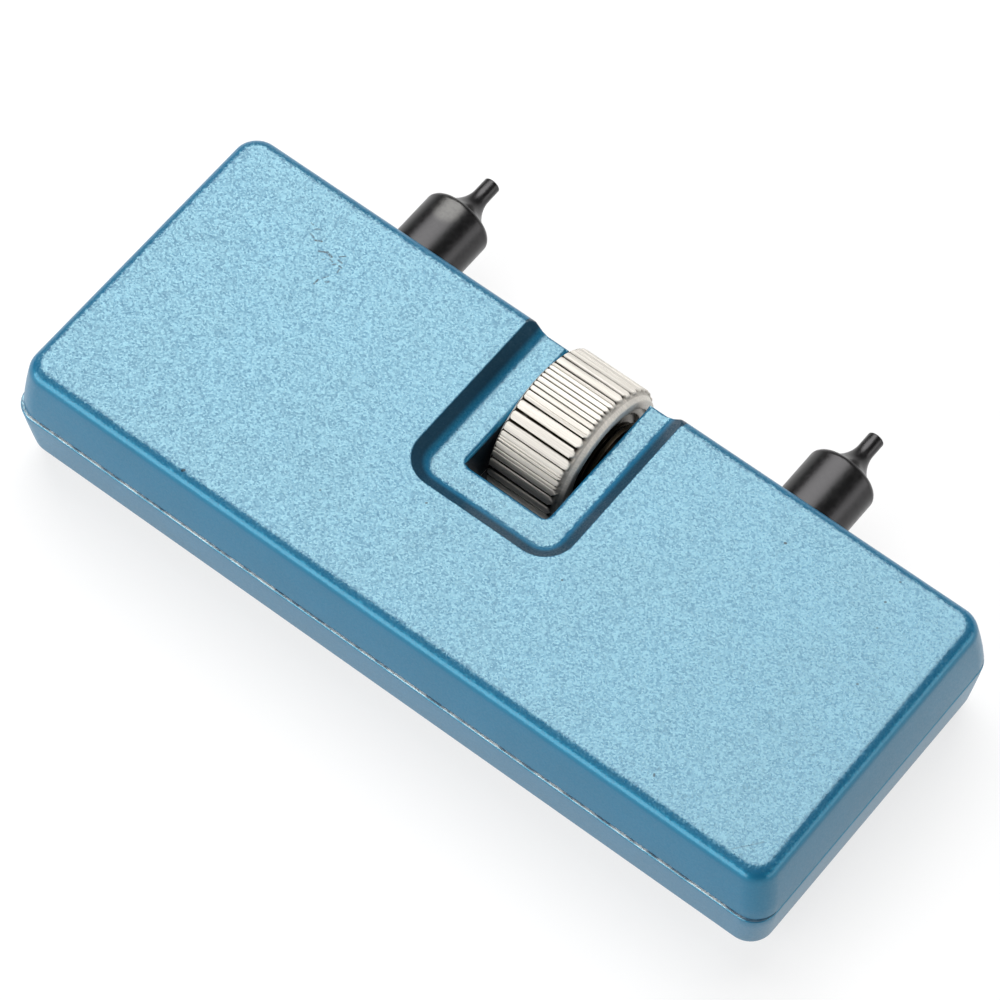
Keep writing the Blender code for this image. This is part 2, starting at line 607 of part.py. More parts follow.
def pin_bit_mesh():
    """Turned pin along Y: stud, thick body, and a thin tip that flares into the body's shoulder."""
    back_y = CARRIAGE_FAR_Y + FIT_GAP
    stud_y = back_y - PIN_STUD_LENGTH
    flare_radius = PIN_TIP_RADIUS + PIN_ROOT_FILLET
    flare_y = PIN_SHOULDER_Y + PIN_ROOT_FILLET
    flare = corner_arc((flare_y, flare_radius), PIN_ROOT_FILLET, math.pi, FILLET_STEPS)
    profile = [(stud_y, 0.0), (stud_y, PIN_STUD_RADIUS), (back_y, PIN_STUD_RADIUS),
               (back_y, PIN_BODY_RADIUS), (PIN_SHOULDER_Y - PIN_BODY_EDGE, PIN_BODY_RADIUS),
               (PIN_SHOULDER_Y, PIN_BODY_RADIUS - PIN_BODY_EDGE)]
    profile += flare
    profile += [(PIN_TIP_END_Y - PIN_TIP_EDGE, PIN_TIP_RADIUS),
                (PIN_TIP_END_Y, PIN_TIP_RADIUS - PIN_TIP_EDGE), (PIN_TIP_END_Y, 0.0)]
    bm = turned(profile, ROUND_STEPS, "Y")
    bmesh.ops.translate(bm, vec=(0, -DRIVE_Y, 0), verts=bm.verts)
    return finish_mesh(bm, "pin_bit")


def build_carriages(frame, brass, black_steel):
    """A nut block and its pin on each thread, both hung on an empty where their axes cross."""
    block = carriage_mesh()
    bore = carriage_bore_mesh()
    stud_hole = stud_hole_mesh()
    pin = pin_bit_mesh()
    for hand, x in (("left", LEFT_PIN_X), ("right", RIGHT_PIN_X)):
        slide = add_empty(f"{hand}_slide", (x, DRIVE_Y, 0.0), frame)
        carriage = add_piece(f"{hand}_carriage", block, brass, slide)
        combine(carriage, add_cutter(f"{hand}_carriage_bore_cut", bore, slide), "DIFFERENCE")
        combine(carriage, add_cutter(f"{hand}_stud_hole_cut", stud_hole, slide), "DIFFERENCE")
        add_piece(f"{hand}_pin_bit", pin, black_steel, slide)


def main():
    clear_scene()
    paint = make_material("blue_metallic_paint", (0.10, 0.28, 0.43), 0.35, 0.6)
    nickel = make_material("nickel_plate", (0.80, 0.78, 0.74), 0.25, 1.0)
    steel = make_material("bright_steel", (0.60, 0.60, 0.61), 0.35, 1.0)
    black_steel = make_material("blackened_steel", (0.03, 0.03, 0.032), 0.45, 0.8)
    brass = make_material("brass", (0.72, 0.52, 0.22), 0.35, 1.0)

    frame = add_empty("case_frame", (0.0, -PART_CENTRE_Y, WHEEL_RADIUS))
    axis = add_empty("drive_axis", (0.0, DRIVE_Y, 0.0), frame)
    build_case(frame, paint)
    build_case_screws(frame, steel)
    build_drive(axis, nickel, steel)
    build_bearings(axis, brass, steel)
    build_carriages(frame, brass, black_steel)


main()
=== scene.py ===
"""Looks of a pocket case back opener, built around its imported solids.

The case halves, the knurled wheel, the screw with its nut blocks and bushes, and the two pins
each replace their solid with a finer mesh in the same place. Every mesh is in metres, in the
frame of the solids: +X runs along the case, +Y towards the pins and +Z out of the upper face.
"""

import json
import logging
import math
import random
from collections.abc import Callable, Iterable
from dataclasses import dataclass, field
from enum import Enum

import bmesh
import bpy
from mathutils import Matrix, Vector


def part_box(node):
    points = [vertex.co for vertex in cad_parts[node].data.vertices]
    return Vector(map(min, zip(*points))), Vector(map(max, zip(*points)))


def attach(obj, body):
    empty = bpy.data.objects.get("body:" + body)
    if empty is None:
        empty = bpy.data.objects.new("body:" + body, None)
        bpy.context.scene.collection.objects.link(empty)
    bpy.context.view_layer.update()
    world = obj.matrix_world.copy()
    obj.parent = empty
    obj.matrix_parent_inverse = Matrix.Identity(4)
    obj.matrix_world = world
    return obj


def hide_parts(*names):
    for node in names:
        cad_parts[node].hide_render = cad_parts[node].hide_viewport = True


LOG = logging.getLogger("case_opener")
MM = 0.001
WELD = 0.0005 * MM
SMOOTH_ANGLE = math.radians(32.0)
FLAT = 0.999

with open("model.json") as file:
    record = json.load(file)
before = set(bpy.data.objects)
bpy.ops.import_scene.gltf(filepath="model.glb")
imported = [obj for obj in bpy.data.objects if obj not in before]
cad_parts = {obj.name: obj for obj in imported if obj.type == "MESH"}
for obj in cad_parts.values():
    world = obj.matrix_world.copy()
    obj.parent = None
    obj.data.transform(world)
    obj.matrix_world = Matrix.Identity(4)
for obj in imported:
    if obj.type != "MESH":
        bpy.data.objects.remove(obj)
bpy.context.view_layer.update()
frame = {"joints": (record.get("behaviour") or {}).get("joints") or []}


class Body(Enum):
    """Moving bodies of the opener."""

    CASE = "case"
    DRIVE = "drive"
    LEFT_SLIDER = "left_slider"
    RIGHT_SLIDER = "right_slider"


class Slot(Enum):
    """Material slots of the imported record."""

    PAINT = "blue_paint"
    NICKEL = "nickel"
    STEEL = "bright_steel"
    BLACK = "black_steel"
    BRASS = "brass"


class Axis(Enum):
    """Turns that lay a shape made around Z along another axis."""

    ALONG_X = Matrix.Rotation(math.pi / 2, 4, "Y")
    ALONG_Y = Matrix.Rotation(-math.pi / 2, 4, "X")
    ALONG_Z = Matrix.Identity(4)


class Hand(Enum):
    """Left and right of the case, seen from the front with the pins pointing away."""

    LEFT = -1
    RIGHT = 1

    @property
    def word(self) -> str:
        """Name of the hand in lower case."""
        return self.name.lower()


class Nodes:
    """A node tree with short calls for the nodes that the finishes and the sky share."""

    def __init__(self, tree: bpy.types.NodeTree) -> None:
        """Work on a tree.

        Args:
            tree: Node tree of a material or of the world.
        """
        self.tree = tree

    def node(self, kind: str, **settings: object) -> bpy.types.Node:
        """Add a node.

        Args:
            kind: Blender's type name of the node.
            settings: Properties to set on it.

        Returns:
            The new node.
        """
        made = self.tree.nodes.new(kind)
        for key, value in settings.items():
            setattr(made, key, value)
        return made

    def feed(self, socket: bpy.types.NodeSocket, source: object) -> None:
        """Link a socket to an output, or set its value.

        Args:
            socket: Input to feed.
            source: Output socket, number or tuple.
        """
        if isinstance(source, bpy.types.NodeSocket):
            self.tree.links.new(source, socket)
        else:
            socket.default_value = source

    def math(self, operation: str, first: object, second: object = 0.0) -> object:
        """Combine two numbers.

        Args:
            operation: Blender's name of the operation.
            first: Output socket or number.
            second: Output socket or number.

        Returns:
            The output socket.
        """
        made = self.node("ShaderNodeMath", operation=operation)
        self.feed(made.inputs[0], first)
        self.feed(made.inputs[1], second)
        return made.outputs[0]

    def vector(self, operation: str, first: object, second: object = (0.0, 0.0, 0.0)) -> bpy.types.Node:
        """Combine two vectors.

        Args:
            operation: Blender's name of the operation.
            first: Output socket or tuple.
            second: Output socket or tuple.

        Returns:
            The node, whose outputs are Vector and Value.
        """
        made = self.node("ShaderNodeVectorMath", operation=operation)
        self.feed(made.inputs[0], first)
        self.feed(made.inputs[1], second)
        return made

    def scaled(self, source: object, factor: object) -> object:
        """Vector times a number.

        Args:
            source: Output socket or tuple.
            factor: Output socket or number.

        Returns:
            The output socket.
        """
        made = self.vector("SCALE", source)
        self.feed(made.inputs["Scale"], factor)
        return made.outputs["Vector"]

    def split(self, source: object) -> tuple[object, ...]:
        """Take a vector apart.

        Args:
            source: Output socket.

        Returns:
            The output sockets of its x, y and z.
        """
        made = self.node("ShaderNodeSeparateXYZ")
        self.feed(made.inputs[0], source)
        return tuple(made.outputs)

    def band(self, source: object, low: float, high: float, start: float = 0.0,
             end: float = 1.0) -> object:
        """Smooth step of a number from one range to another.

        Args:
            source: Output socket.
            low: Where the step starts.
            high: Where it ends.
            start: Result below low.
            end: Result above high.

        Returns:
            The output socket.
        """
        made = self.node("ShaderNodeMapRange", interpolation_type="SMOOTHSTEP")
        for key, value in zip(("Value", "From Min", "From Max", "To Min", "To Max"),
                              (source, low, high, start, end)):
            self.feed(made.inputs[key], value)
        return made.outputs["Result"]

    def blend(self, factor: object, first: object, second: object) -> object:
        """Mix of two colours.

        Args:
            factor: Share of the second colour.
            first: Output socket or colour.
            second: Output socket or colour.

        Returns:
            The output socket.
        """
        made = self.node("ShaderNodeMix", data_type="RGBA")
        for index, source in zip((0, 6, 7), (factor, first, second)):
            self.feed(made.inputs[index], (*source, 1.0) if isinstance(source, tuple) else source)
        return made.outputs[2]

    def tinted(self, colour: object, factor: object) -> object:
        """A colour made brighter or darker.

        Args:
            colour: Output socket or colour.
            factor: Output socket with the brightness.

        Returns:
            The output socket.
        """
        made = self.node("ShaderNodeMix", data_type="RGBA", blend_type="MULTIPLY")
        made.inputs[0].default_value = 1.0
        self.feed(made.inputs[6], (*colour, 1.0) if isinstance(colour, tuple) else colour)
        self.feed(made.inputs[7], factor)
        return made.outputs[2]


class Graph(Nodes):
    """A material's node tree, with one shader and the textures that the finishes share."""

    def __init__(self, name: str) -> None:
        """Start a material with one shader.

        Args:
            name: Name of the material.
        """
        self.material = bpy.data.materials.new(name)
        self.material.use_nodes = True
        super().__init__(self.material.node_tree)
        self.shader = self.tree.nodes["Principled BSDF"]
        self.place = self.tree.nodes.new("ShaderNodeTexCoord").outputs["Object"]

    def mapped(self, offset: tuple = (0.0, 0.0, 0.0), scale: tuple = (1.0, 1.0, 1.0)) -> object:
        """Object coordinates, moved and stretched.

        Args:
            offset: Added to the coordinates after the stretch.
            scale: Stretch along each axis.

        Returns:
            The output socket.
        """
        made = self.node("ShaderNodeMapping")
        self.feed(made.inputs["Vector"], self.place)
        made.inputs["Location"].default_value = offset
        made.inputs["Scale"].default_value = scale
        return made.outputs["Vector"]

    def noise(self, scale: float, detail: float = 2.0, where: object = None) -> object:
        """Soft noise from 0 to 1.

        Args:
            scale: Cells per metre.
            detail: Octaves on top of the first.
            where: Coordinates, or None for Object coordinates.

        Returns:
            The output socket.
        """
        made = self.node("ShaderNodeTexNoise")
        self.feed(made.inputs["Vector"], self.place if where is None else where)
        made.inputs["Scale"].default_value = scale
        made.inputs["Detail"].default_value = detail
        return made.outputs["Fac"]

    def cells(self, scale: float) -> object:
        """A random colour in each cell of a small cell pattern.

        Args:
            scale: Cells per metre.

        Returns:
            The output socket.
        """
        made = self.node("ShaderNodeTexVoronoi")
        self.feed(made.inputs["Vector"], self.place)
        made.inputs["Scale"].default_value = scale
        return made.outputs["Color"]

    def bump(self, height: object, depth: float) -> object:
        """Normal of a surface with a fine relief.

        Args:
            height: Output socket with the relief, 0 to 1.
            depth: Depth of the relief in metres.

        Returns:
            The output socket.
        """
        made = self.node("ShaderNodeBump")
        made.inputs["Distance"].default_value = depth
        self.feed(made.inputs["Height"], height)
        return made.outputs["Normal"]

    def axis_distance(self, centre: Vector) -> object:
        """Distance from a line along X.

        Args:
            centre: A point of the line.

        Returns:
            The output socket.
        """
        flat = self.mapped((0.0, -centre.y, -centre.z), (0.0, 1.0, 1.0))
        return self.vector("LENGTH", flat).outputs["Value"]

    def finish(self, **inputs: object) -> bpy.types.Material:
        """Feed the shader and hand over the material.

        Args:
            inputs: Shader inputs, with underscores for spaces.

        Returns:
            The material.
        """
        for key, source in inputs.items():
            colour = isinstance(source, tuple) and len(source) == 3
            self.feed(self.shader.inputs[key.replace("_", " ")], (*source, 1.0) if colour else source)
        return self.material


@dataclass(frozen=True)
class Round:
    """Rounding of one ring edge of a turned piece, found by its place along the axis and its radius."""

    along: float
    radius: float
    size: float
    steps: int = 3


def round_edges(bm: bmesh.types.BMesh, edges: Iterable[bmesh.types.BMEdge], size: float,
                steps: int) -> None:
    """Round some edges.

    Args:
        bm: Mesh to change.
        edges: Edges to round.
        size: Distance of the rounding from the old edge.
        steps: Faces across the rounding.
    """
    bmesh.ops.bevel(bm, geom=list(edges), offset=size, offset_type="OFFSET", segments=steps, profile=0.5,
                    affect="EDGES", material=-1)


def turned(profile: list[tuple[float, float]], axis: Axis, steps: int = 64, hollow: bool = False,
           rounds: Iterable[Round] = ()) -> bmesh.types.BMesh:
    """Spin a profile into a round solid.

    Args:
        profile: Places along the axis and radii. A hollow one closes on itself away from the axis.
        axis: Axis to lay the solid along.
        steps: Faces around.
        hollow: Whether the profile is a closed loop.
        rounds: Ring edges to round.

    Returns:
        The mesh.
    """
    bm = bmesh.new()
    points = [bm.verts.new((radius, 0.0, along)) for along, radius in profile]
    edges = [bm.edges.new(pair) for pair in zip(points, points[1:])]
    if hollow:
        edges.append(bm.edges.new((points[-1], points[0])))
    bmesh.ops.spin(bm, geom=points + edges, cent=(0, 0, 0), axis=(0, 0, 1), dvec=(0, 0, 0),
                   angle=math.tau, steps=steps, use_merge=True, use_duplicate=False)
    bmesh.ops.remove_doubles(bm, verts=bm.verts, dist=WELD)
    bmesh.ops.recalc_face_normals(bm, faces=bm.faces)
    for ring in rounds:
        round_edges(bm, ring_edges(bm, ring.along, ring.radius), ring.size, ring.steps)
    bmesh.ops.transform(bm, matrix=axis.value, verts=bm.verts)
    return bm


def ring_edges(bm: bmesh.types.BMesh, along: float, radius: float) -> list[bmesh.types.BMEdge]:
    """Edges of one ring around Z.

    Args:
        bm: Mesh to search.
        along: Height of the ring.
        radius: Radius of the ring.

    Returns:
        The edges.
    """
    def on_ring(vert: bmesh.types.BMVert) -> bool:
        """Whether a point lies on the ring."""
        off = math.hypot(math.hypot(vert.co.x, vert.co.y) - radius, vert.co.z - along)
        return off < 0.01 * MM

    return [edge for edge in bm.edges if all(on_ring(vert) for vert in edge.verts)]


def block(low: tuple[float, float, float], high: tuple[float, float, float]) -> bmesh.types.BMesh:
    """Box between two corners.

    Args:
        low: Lowest corner.
        high: Highest corner.

    Returns:
        The mesh.
    """
    bm = bmesh.new()
    bmesh.ops.create_cube(bm, size=1.0)
    bmesh.ops.scale(bm, vec=Vector(high) - Vector(low), verts=bm.verts)
    bmesh.ops.translate(bm, vec=(Vector(high) + Vector(low)) / 2, verts=bm.verts)
    return bm


def rounded_face(low: tuple[float, float], high: tuple[float, float], z: float, radius: float,
                 steps: int, near_only: bool = False) -> tuple[bmesh.types.BMesh, bmesh.types.BMFace]:
    """Flat rectangle that faces up, with round corners.

    Args:
        low: Lowest x and y.
        high: Highest x and y.
        z: Height.
        radius: Radius of the corners.
        steps: Edges around each corner.
        near_only: Whether only the two corners at the lowest y are rounded.

    Returns:
        The mesh and its face.
    """
    bm = bmesh.new()
    bmesh.ops.create_grid(bm, x_segments=1, y_segments=1, size=0.5)
    bmesh.ops.scale(bm, vec=(high[0] - low[0], high[1] - low[1], 1.0), verts=bm.verts)
    bmesh.ops.translate(bm, vec=((high[0] + low[0]) / 2, (high[1] + low[1]) / 2, z), verts=bm.verts)
    middle = (high[1] + low[1]) / 2
    corners = [vert for vert in bm.verts if not near_only or vert.co.y < middle]
    bmesh.ops.bevel(bm, geom=corners, offset=radius, offset_type="OFFSET", segments=steps, profile=0.5,
                    affect="VERTICES", material=-1)
    bm.faces.ensure_lookup_table()
    return bm, bm.faces[0]


def tapered(bm: bmesh.types.BMesh, face: bmesh.types.BMFace, lean: float, rise: float) -> None:
    """Raise a lone face into a closed solid whose walls lean inwards.

    Args:
        bm: Mesh that holds only the face.
        face: Face to raise; it ends as the far face of the solid.
        lean: How far the walls lean in.
        rise: Height of the solid, or its depth if negative.
    """
    bmesh.ops.inset_region(bm, faces=[face], thickness=lean, depth=rise, use_boundary=True,
                           use_even_offset=True)
    bmesh.ops.contextual_create(bm, geom=[edge for edge in bm.edges if edge.is_boundary])
    bmesh.ops.recalc_face_normals(bm, faces=bm.faces)


def extruded(bm: bmesh.types.BMesh, face: bmesh.types.BMFace, offset: Vector) -> bmesh.types.BMFace:
    """Draw a face out of a mesh.

    Args:
        bm: Mesh that holds the face.
        face: Face to draw out. It stays as the end of the solid if it stands alone.
        offset: How far and which way.

    Returns:
        The face at the new end.
    """
    made = bmesh.ops.extrude_face_region(bm, geom=[face])["geom"]
    end = next(each for each in made if isinstance(each, bmesh.types.BMFace))
    if any(len(edge.link_faces) > 2 for edge in face.edges):
        bmesh.ops.delete(bm, geom=[face], context="FACES_ONLY")
    bmesh.ops.translate(bm, vec=offset, verts=end.verts)
    return end


def raised(bm: bmesh.types.BMesh, face: bmesh.types.BMFace, lean: float,
           rise: float) -> bmesh.types.BMFace:
    """Raise a face that is centred on Z, with walls that lean in and corners that keep their radius.

    Args:
        bm: Mesh that holds the face.
        face: Face to raise.
        lean: How far the walls lean in.
        rise: How far to raise it.

    Returns:
        The raised face.
    """
    top = extruded(bm, face, Vector((0.0, 0.0, rise)))
    half_x = max(vert.co.x for vert in top.verts)
    half_y = max(vert.co.y for vert in top.verts)
    bmesh.ops.scale(bm, vec=(1.0 - lean / half_x, 1.0 - lean / half_y, 1.0), verts=top.verts)
    return top


def moved(bm: bmesh.types.BMesh, offset: Vector) -> bmesh.types.BMesh:
    """Shift a mesh and hand it back.

    Args:
        bm: Mesh to shift.
        offset: How far.

    Returns:
        The same mesh.
    """
    bmesh.ops.translate(bm, vec=offset, verts=bm.verts)
    return bm


def plain_object(bm: bmesh.types.BMesh, name: str) -> bpy.types.Object:
    """Put a mesh into the scene and free the bmesh.

    Args:
        bm: Mesh to use up.
        name: Name of the object.

    Returns:
        The object.
    """
    mesh = bpy.data.meshes.new(name)
    bm.to_mesh(mesh)
    bm.free()
    made = bpy.data.objects.new(name, mesh)
    bpy.context.scene.collection.objects.link(made)
    return made


def carved(bm: bmesh.types.BMesh, cutters: Iterable[bmesh.types.BMesh]) -> bmesh.types.BMesh:
    """Cut shapes out of a solid.

    Args:
        bm: Solid to use up.
        cutters: Shapes to cut out and use up.

    Returns:
        The cut solid.
    """
    stock = plain_object(bm, "stock")
    tools = []
    for number, cutter in enumerate(cutters):
        tools.append(plain_object(cutter, f"cutter_{number}"))
        cut = stock.modifiers.new(tools[-1].name, "BOOLEAN")
        cut.operation = "DIFFERENCE"
        cut.solver = "EXACT"
        cut.object = tools[-1]
    shape = stock.evaluated_get(bpy.context.evaluated_depsgraph_get()).to_mesh()
    made = bmesh.new()
    made.from_mesh(shape)
    bmesh.ops.remove_doubles(made, verts=made.verts, dist=WELD)
    for used in (stock, *tools):
        mesh = used.data
        bpy.data.objects.remove(used)
        bpy.data.meshes.remove(mesh)
    return made


def finished(bm: bmesh.types.BMesh, name: str, finish: bpy.types.Material, node: str, body: Body) -> bpy.types.Object:
    """Make a piece of a mesh: smooth it, dress it, and let it stand for its solid.

    Args:
        bm: Mesh to use up.
        name: Name of the piece.
        finish: Material.
        node: Solid that the piece stands for.
        body: Body that it moves with.

    Returns:
        The piece.
    """
    piece = plain_object(bm, name)
    piece.data.shade_smooth()
    piece.data.set_sharp_from_angle(angle=SMOOTH_ANGLE)
    piece.data.materials.append(finish)
    weighted = piece.modifiers.new("weighted_normals", "WEIGHTED_NORMAL")
    weighted.keep_sharp = True
    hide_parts(node)
    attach(piece, body.value)
    LOG.info("%s: %d faces, moves with %s", name, len(piece.data.polygons), body.value)
    return piece


@dataclass(frozen=True)
class Stroke:
    """A short dark rub mark on the upper face, from one place to another in millimetres."""

    start: tuple[float, float]
    end: tuple[float, float]
    half_width: float = 0.08
    strength: float = 0.7


SCUFF = (
    Stroke((-27.47, 4.71), (-27.04, 4.57)), Stroke((-26.82, 4.41), (-26.27, 4.68), 0.10, 0.95),
    Stroke((-27.44, 5.28), (-27.19, 5.50), 0.10), Stroke((-28.10, 5.55), (-27.84, 5.52)),
    Stroke((-25.84, 3.78), (-25.21, 4.14), 0.10, 0.9), Stroke((-25.21, 4.14), (-24.67, 3.99), 0.13, 0.9),
    Stroke((-24.62, 3.75), (-24.30, 3.67)), Stroke((-24.16, 4.40), (-23.78, 4.79), 0.07, 0.85),
    Stroke((-24.13, 3.46), (-23.94, 3.67)), Stroke((-24.00, 4.10), (-23.58, 4.08), 0.10),
    Stroke((-23.62, 3.69), (-23.36, 3.67), 0.10, 0.85), Stroke((-23.39, 3.47), (-23.32, 3.11)),
    Stroke((-25.16, 3.30), (-24.91, 3.56), 0.05), Stroke((-24.13, 1.55), (-24.15, 1.07), 0.09, 0.85),
    Stroke((-23.90, 1.98), (-23.68, 2.35), 0.08), Stroke((-23.52, 1.80), (-23.30, 1.95), 0.09),
    Stroke((34.43, -19.05), (36.03, -17.02), 0.08, 0.35),
)
SPECKS = (
    Stroke((21.28, 5.50), (21.34, 5.52), 0.13, 0.9), Stroke((30.81, 6.12), (30.86, 6.16), 0.10, 0.8),
    Stroke((31.71, 3.81), (31.74, 3.84), 0.08, 0.7), Stroke((33.46, -1.26), (33.50, -1.22), 0.10, 0.8),
    Stroke((30.67, 8.35), (30.72, 8.37), 0.09, 0.7), Stroke((-3.75, -9.55), (-3.70, -9.50), 0.10, 0.8),
    Stroke((9.27, -8.35), (9.30, -8.33), 0.10, 0.8), Stroke((25.78, -17.76), (25.70, -17.62), 0.10, 0.8),
    Stroke((-11.25, -13.94), (-11.22, -13.92), 0.09, 0.7),
    Stroke((-21.10, -19.34), (-21.20, -19.44), 0.14, 0.9),
)


@dataclass(frozen=True)
class FlakePaint:
    """Blue paint with fine metal flakes under a clear coat, with rub marks and specks and bared by wear along the
    seam. Painted shade darkens the window walls, the recess slopes and the flake tint of the upright sides; the bared
    seam edge is painted near-white, which is also a painted highlight.
    """

    colour: tuple[float, float, float] = (0.009, 0.105, 0.205)
    flake_tint: tuple[float, float, float] = (0.40, 0.69, 0.74)
    # Darker, bluer flake tint for upright faces: painted shade of the sides' reflections.
    shaded_side_tint: tuple[float, float, float] = (0.045, 0.435, 0.618)
    flake_ior: float = 2.21
    dull_flake: tuple[float, float, float] = (0.05, 0.05, 0.05)
    # Near-white seam edge: bare metal from wear, and also a painted highlight of the ledge.
    bare_metal_highlight: tuple[float, float, float] = (0.82, 0.83, 0.82)
    # Near-black blue of rub marks and specks, also the painted shade of the window walls and recess slopes.
    rub_and_painted_light: tuple[float, float, float] = (0.008, 0.022, 0.036)
    grain_per_metre: float = 7000.0
    flake_tilt: float = 0.30
    grain_contrast: float = 1.12
    roughness: float = 0.36
    coat_weight: float = 0.2
    coat_roughness: float = 0.13
    coat_ior: float = 1.8
    peel_per_metre: float = 1600.0
    peel_depth: float = 0.0012 * MM
    # Width of the near-white seam edge, wear and painted highlight.
    worn_highlight_edge: float = 0.12 * MM

    def material(self, centre: Vector, sizes: "CaseSizes") -> bpy.types.Material:
        """Make the paint.

        Args:
            centre: Middle of the case, in the seam whose lower edge is worn.
            sizes: Sizes of the case, for the shade in its openings.

        Returns:
            The material.
        """
        graph = Graph("blue_flake_paint")
        surface = graph.node("ShaderNodeNewGeometry").outputs["Normal"]
        level = graph.math("ABSOLUTE", graph.split(surface)[2])
        upright = graph.band(level, 0.74, 0.985, 1.0, 0.0)
        calm = graph.band(level, 0.60, 0.98, 0.2, 1.0)
        cells = graph.cells(self.grain_per_metre)
        spread = graph.vector("SUBTRACT", cells, (0.5, 0.5, 0.5)).outputs["Vector"]
        grain = graph.scaled(spread, calm)
        sparkle = graph.math("MULTIPLY", graph.split(grain)[0], self.grain_contrast)
        sparkle = graph.math("ADD", sparkle, 1.0)
        cloud = graph.band(graph.noise(180.0, 4.0), 0.3, 0.7, 0.96, 1.04)
        body = graph.tinted(self.colour, cloud)

        marks = graph.band(graph.noise(6000.0, 2.0), 0.35, 0.6, 0.55, 1.0)
        rubs = graph.math("MULTIPLY", self.strokes(graph, SCUFF), marks)
        dark = graph.math("MAXIMUM", rubs, self.strokes(graph, SPECKS))
        x, _, z = graph.split(graph.place)
        # Lower edge of the seam painted near-white: bared metal and a painted highlight.
        below = graph.math("SUBTRACT", centre.z, z)
        edge = graph.math("MULTIPLY", graph.band(below, 0.0, 0.03 * MM),
                          graph.band(below, self.worn_highlight_edge * 0.6, self.worn_highlight_edge, 1.0, 0.0))
        along = graph.math("ABSOLUTE", graph.math("SUBTRACT", x, centre.x))
        edge = graph.math("MULTIPLY", edge, graph.band(along, 36.6 * MM, 37.8 * MM, 1.0, 0.15))
        worn_and_highlight = graph.math("MULTIPLY", edge, graph.band(graph.noise(700.0, 5.0), 0.36, 0.56, 0.25, 1.0))
        # Painted shade of the window walls and recess slopes joins the rub marks here.
        dark = graph.math("MAXIMUM", dark, self.shade(graph, centre, sizes))
        colour = graph.blend(worn_and_highlight, graph.blend(dark, body, self.rub_and_painted_light), self.bare_metal_highlight)

        leaning = graph.vector("ADD", surface, graph.scaled(grain, self.flake_tilt)).outputs["Vector"]
        facet = graph.vector("NORMALIZE", leaning).outputs["Vector"]
        peel = graph.bump(graph.noise(self.peel_per_metre, 2.0), self.peel_depth)
        # Upright faces get the darker side tint, a painted shade of their reflections.
        flake = graph.tinted(graph.blend(upright, self.flake_tint, self.shaded_side_tint), sparkle)
        # Flakes turn dull grey under rub marks and under the painted shade too.
        flake = graph.blend(dark, flake, self.dull_flake)
        return graph.finish(Base_Color=colour, Metallic=0.0, Roughness=self.roughness, IOR=self.flake_ior,
                            Specular_Tint=flake, Normal=facet, Coat_Weight=self.coat_weight,
                            Coat_Roughness=self.coat_roughness, Coat_IOR=self.coat_ior, Coat_Normal=peel)

    @staticmethod
    def shade(graph: Graph, centre: Vector, sizes: "CaseSizes") -> object:
        """Mask of painted shade on the inner walls of the wheel window and on the slopes of the recess.

        Args:
            graph: Material to add to.
            centre: Middle of the case.
            sizes: Sizes of the window and the recess.

        Returns:
            The output socket, 1 on the walls.
        """
        edge = 0.03 * MM
        x, y, z = graph.split(graph.place)
        left, right = centre.x + sizes.window_left_x, centre.x + sizes.window_right_x
        near = centre.y + sizes.window_near_y
        # Inner walls of the wheel window: painted shade, near-black.
        inside = graph.math("MULTIPLY", graph.band(x, left - edge, left),
                            graph.band(x, right, right + edge, 1.0, 0.0))
        window = graph.math("MULTIPLY", inside, graph.band(y, near - edge, near))
        height = graph.math("ABSOLUTE", graph.math("SUBTRACT", z, centre.z))
        top = sizes.half_z
        floor = top - sizes.dish_depth
        # Slopes of the recess: painted shade, darker by the strength below.
        slope = graph.math("MULTIPLY", graph.band(height, floor + 0.15 * MM, floor + 0.6 * MM),
                           graph.band(height, top - 0.06 * MM, top - 0.01 * MM, 1.0, 0.0))
        off = graph.math("ABSOLUTE", graph.math("SUBTRACT", x, centre.x))
        half = sizes.dish_half_width + 0.1 * MM
        rim = centre.y + sizes.dish_near_y - 0.1 * MM
        across = graph.math("MULTIPLY", graph.band(off, half, half + 0.05 * MM, 1.0, 0.0),
                            graph.band(y, rim - 0.05 * MM, rim))
        recess = graph.math("MULTIPLY", graph.math("MULTIPLY", slope, across), sizes.dish_painted_shade)
        return graph.math("MAXIMUM", window, recess)

    @staticmethod
    def strokes(graph: Graph, strokes: Iterable[Stroke]) -> object:
        """Mask of some strokes on the upper face.

        Args:
            graph: Material to add to.
            strokes: Strokes to draw.

        Returns:
            The output socket, 1 in the middle of a full stroke.
        """
        flat = graph.mapped(scale=(1.0 / MM, 1.0 / MM, 0.0))
        mask = 0.0
        for stroke in strokes:
            start, end = Vector((*stroke.start, 0.0)), Vector((*stroke.end, 0.0))
            run = end - start
            arm = graph.vector("SUBTRACT", flat, tuple(start)).outputs["Vector"]
            along = graph.vector("DOT_PRODUCT", arm, tuple(run / run.length_squared)).outputs["Value"]
            share = graph.math("MAXIMUM", graph.math("MINIMUM", along, 1.0), 0.0)
            off = graph.vector("DISTANCE", arm, graph.scaled(tuple(run), share)).outputs["Value"]
            mark = graph.band(off, stroke.half_width * 0.5, stroke.half_width * 1.2, stroke.strength, 0.0)
            mask = graph.math("MAXIMUM", mark, mask)
        return mask


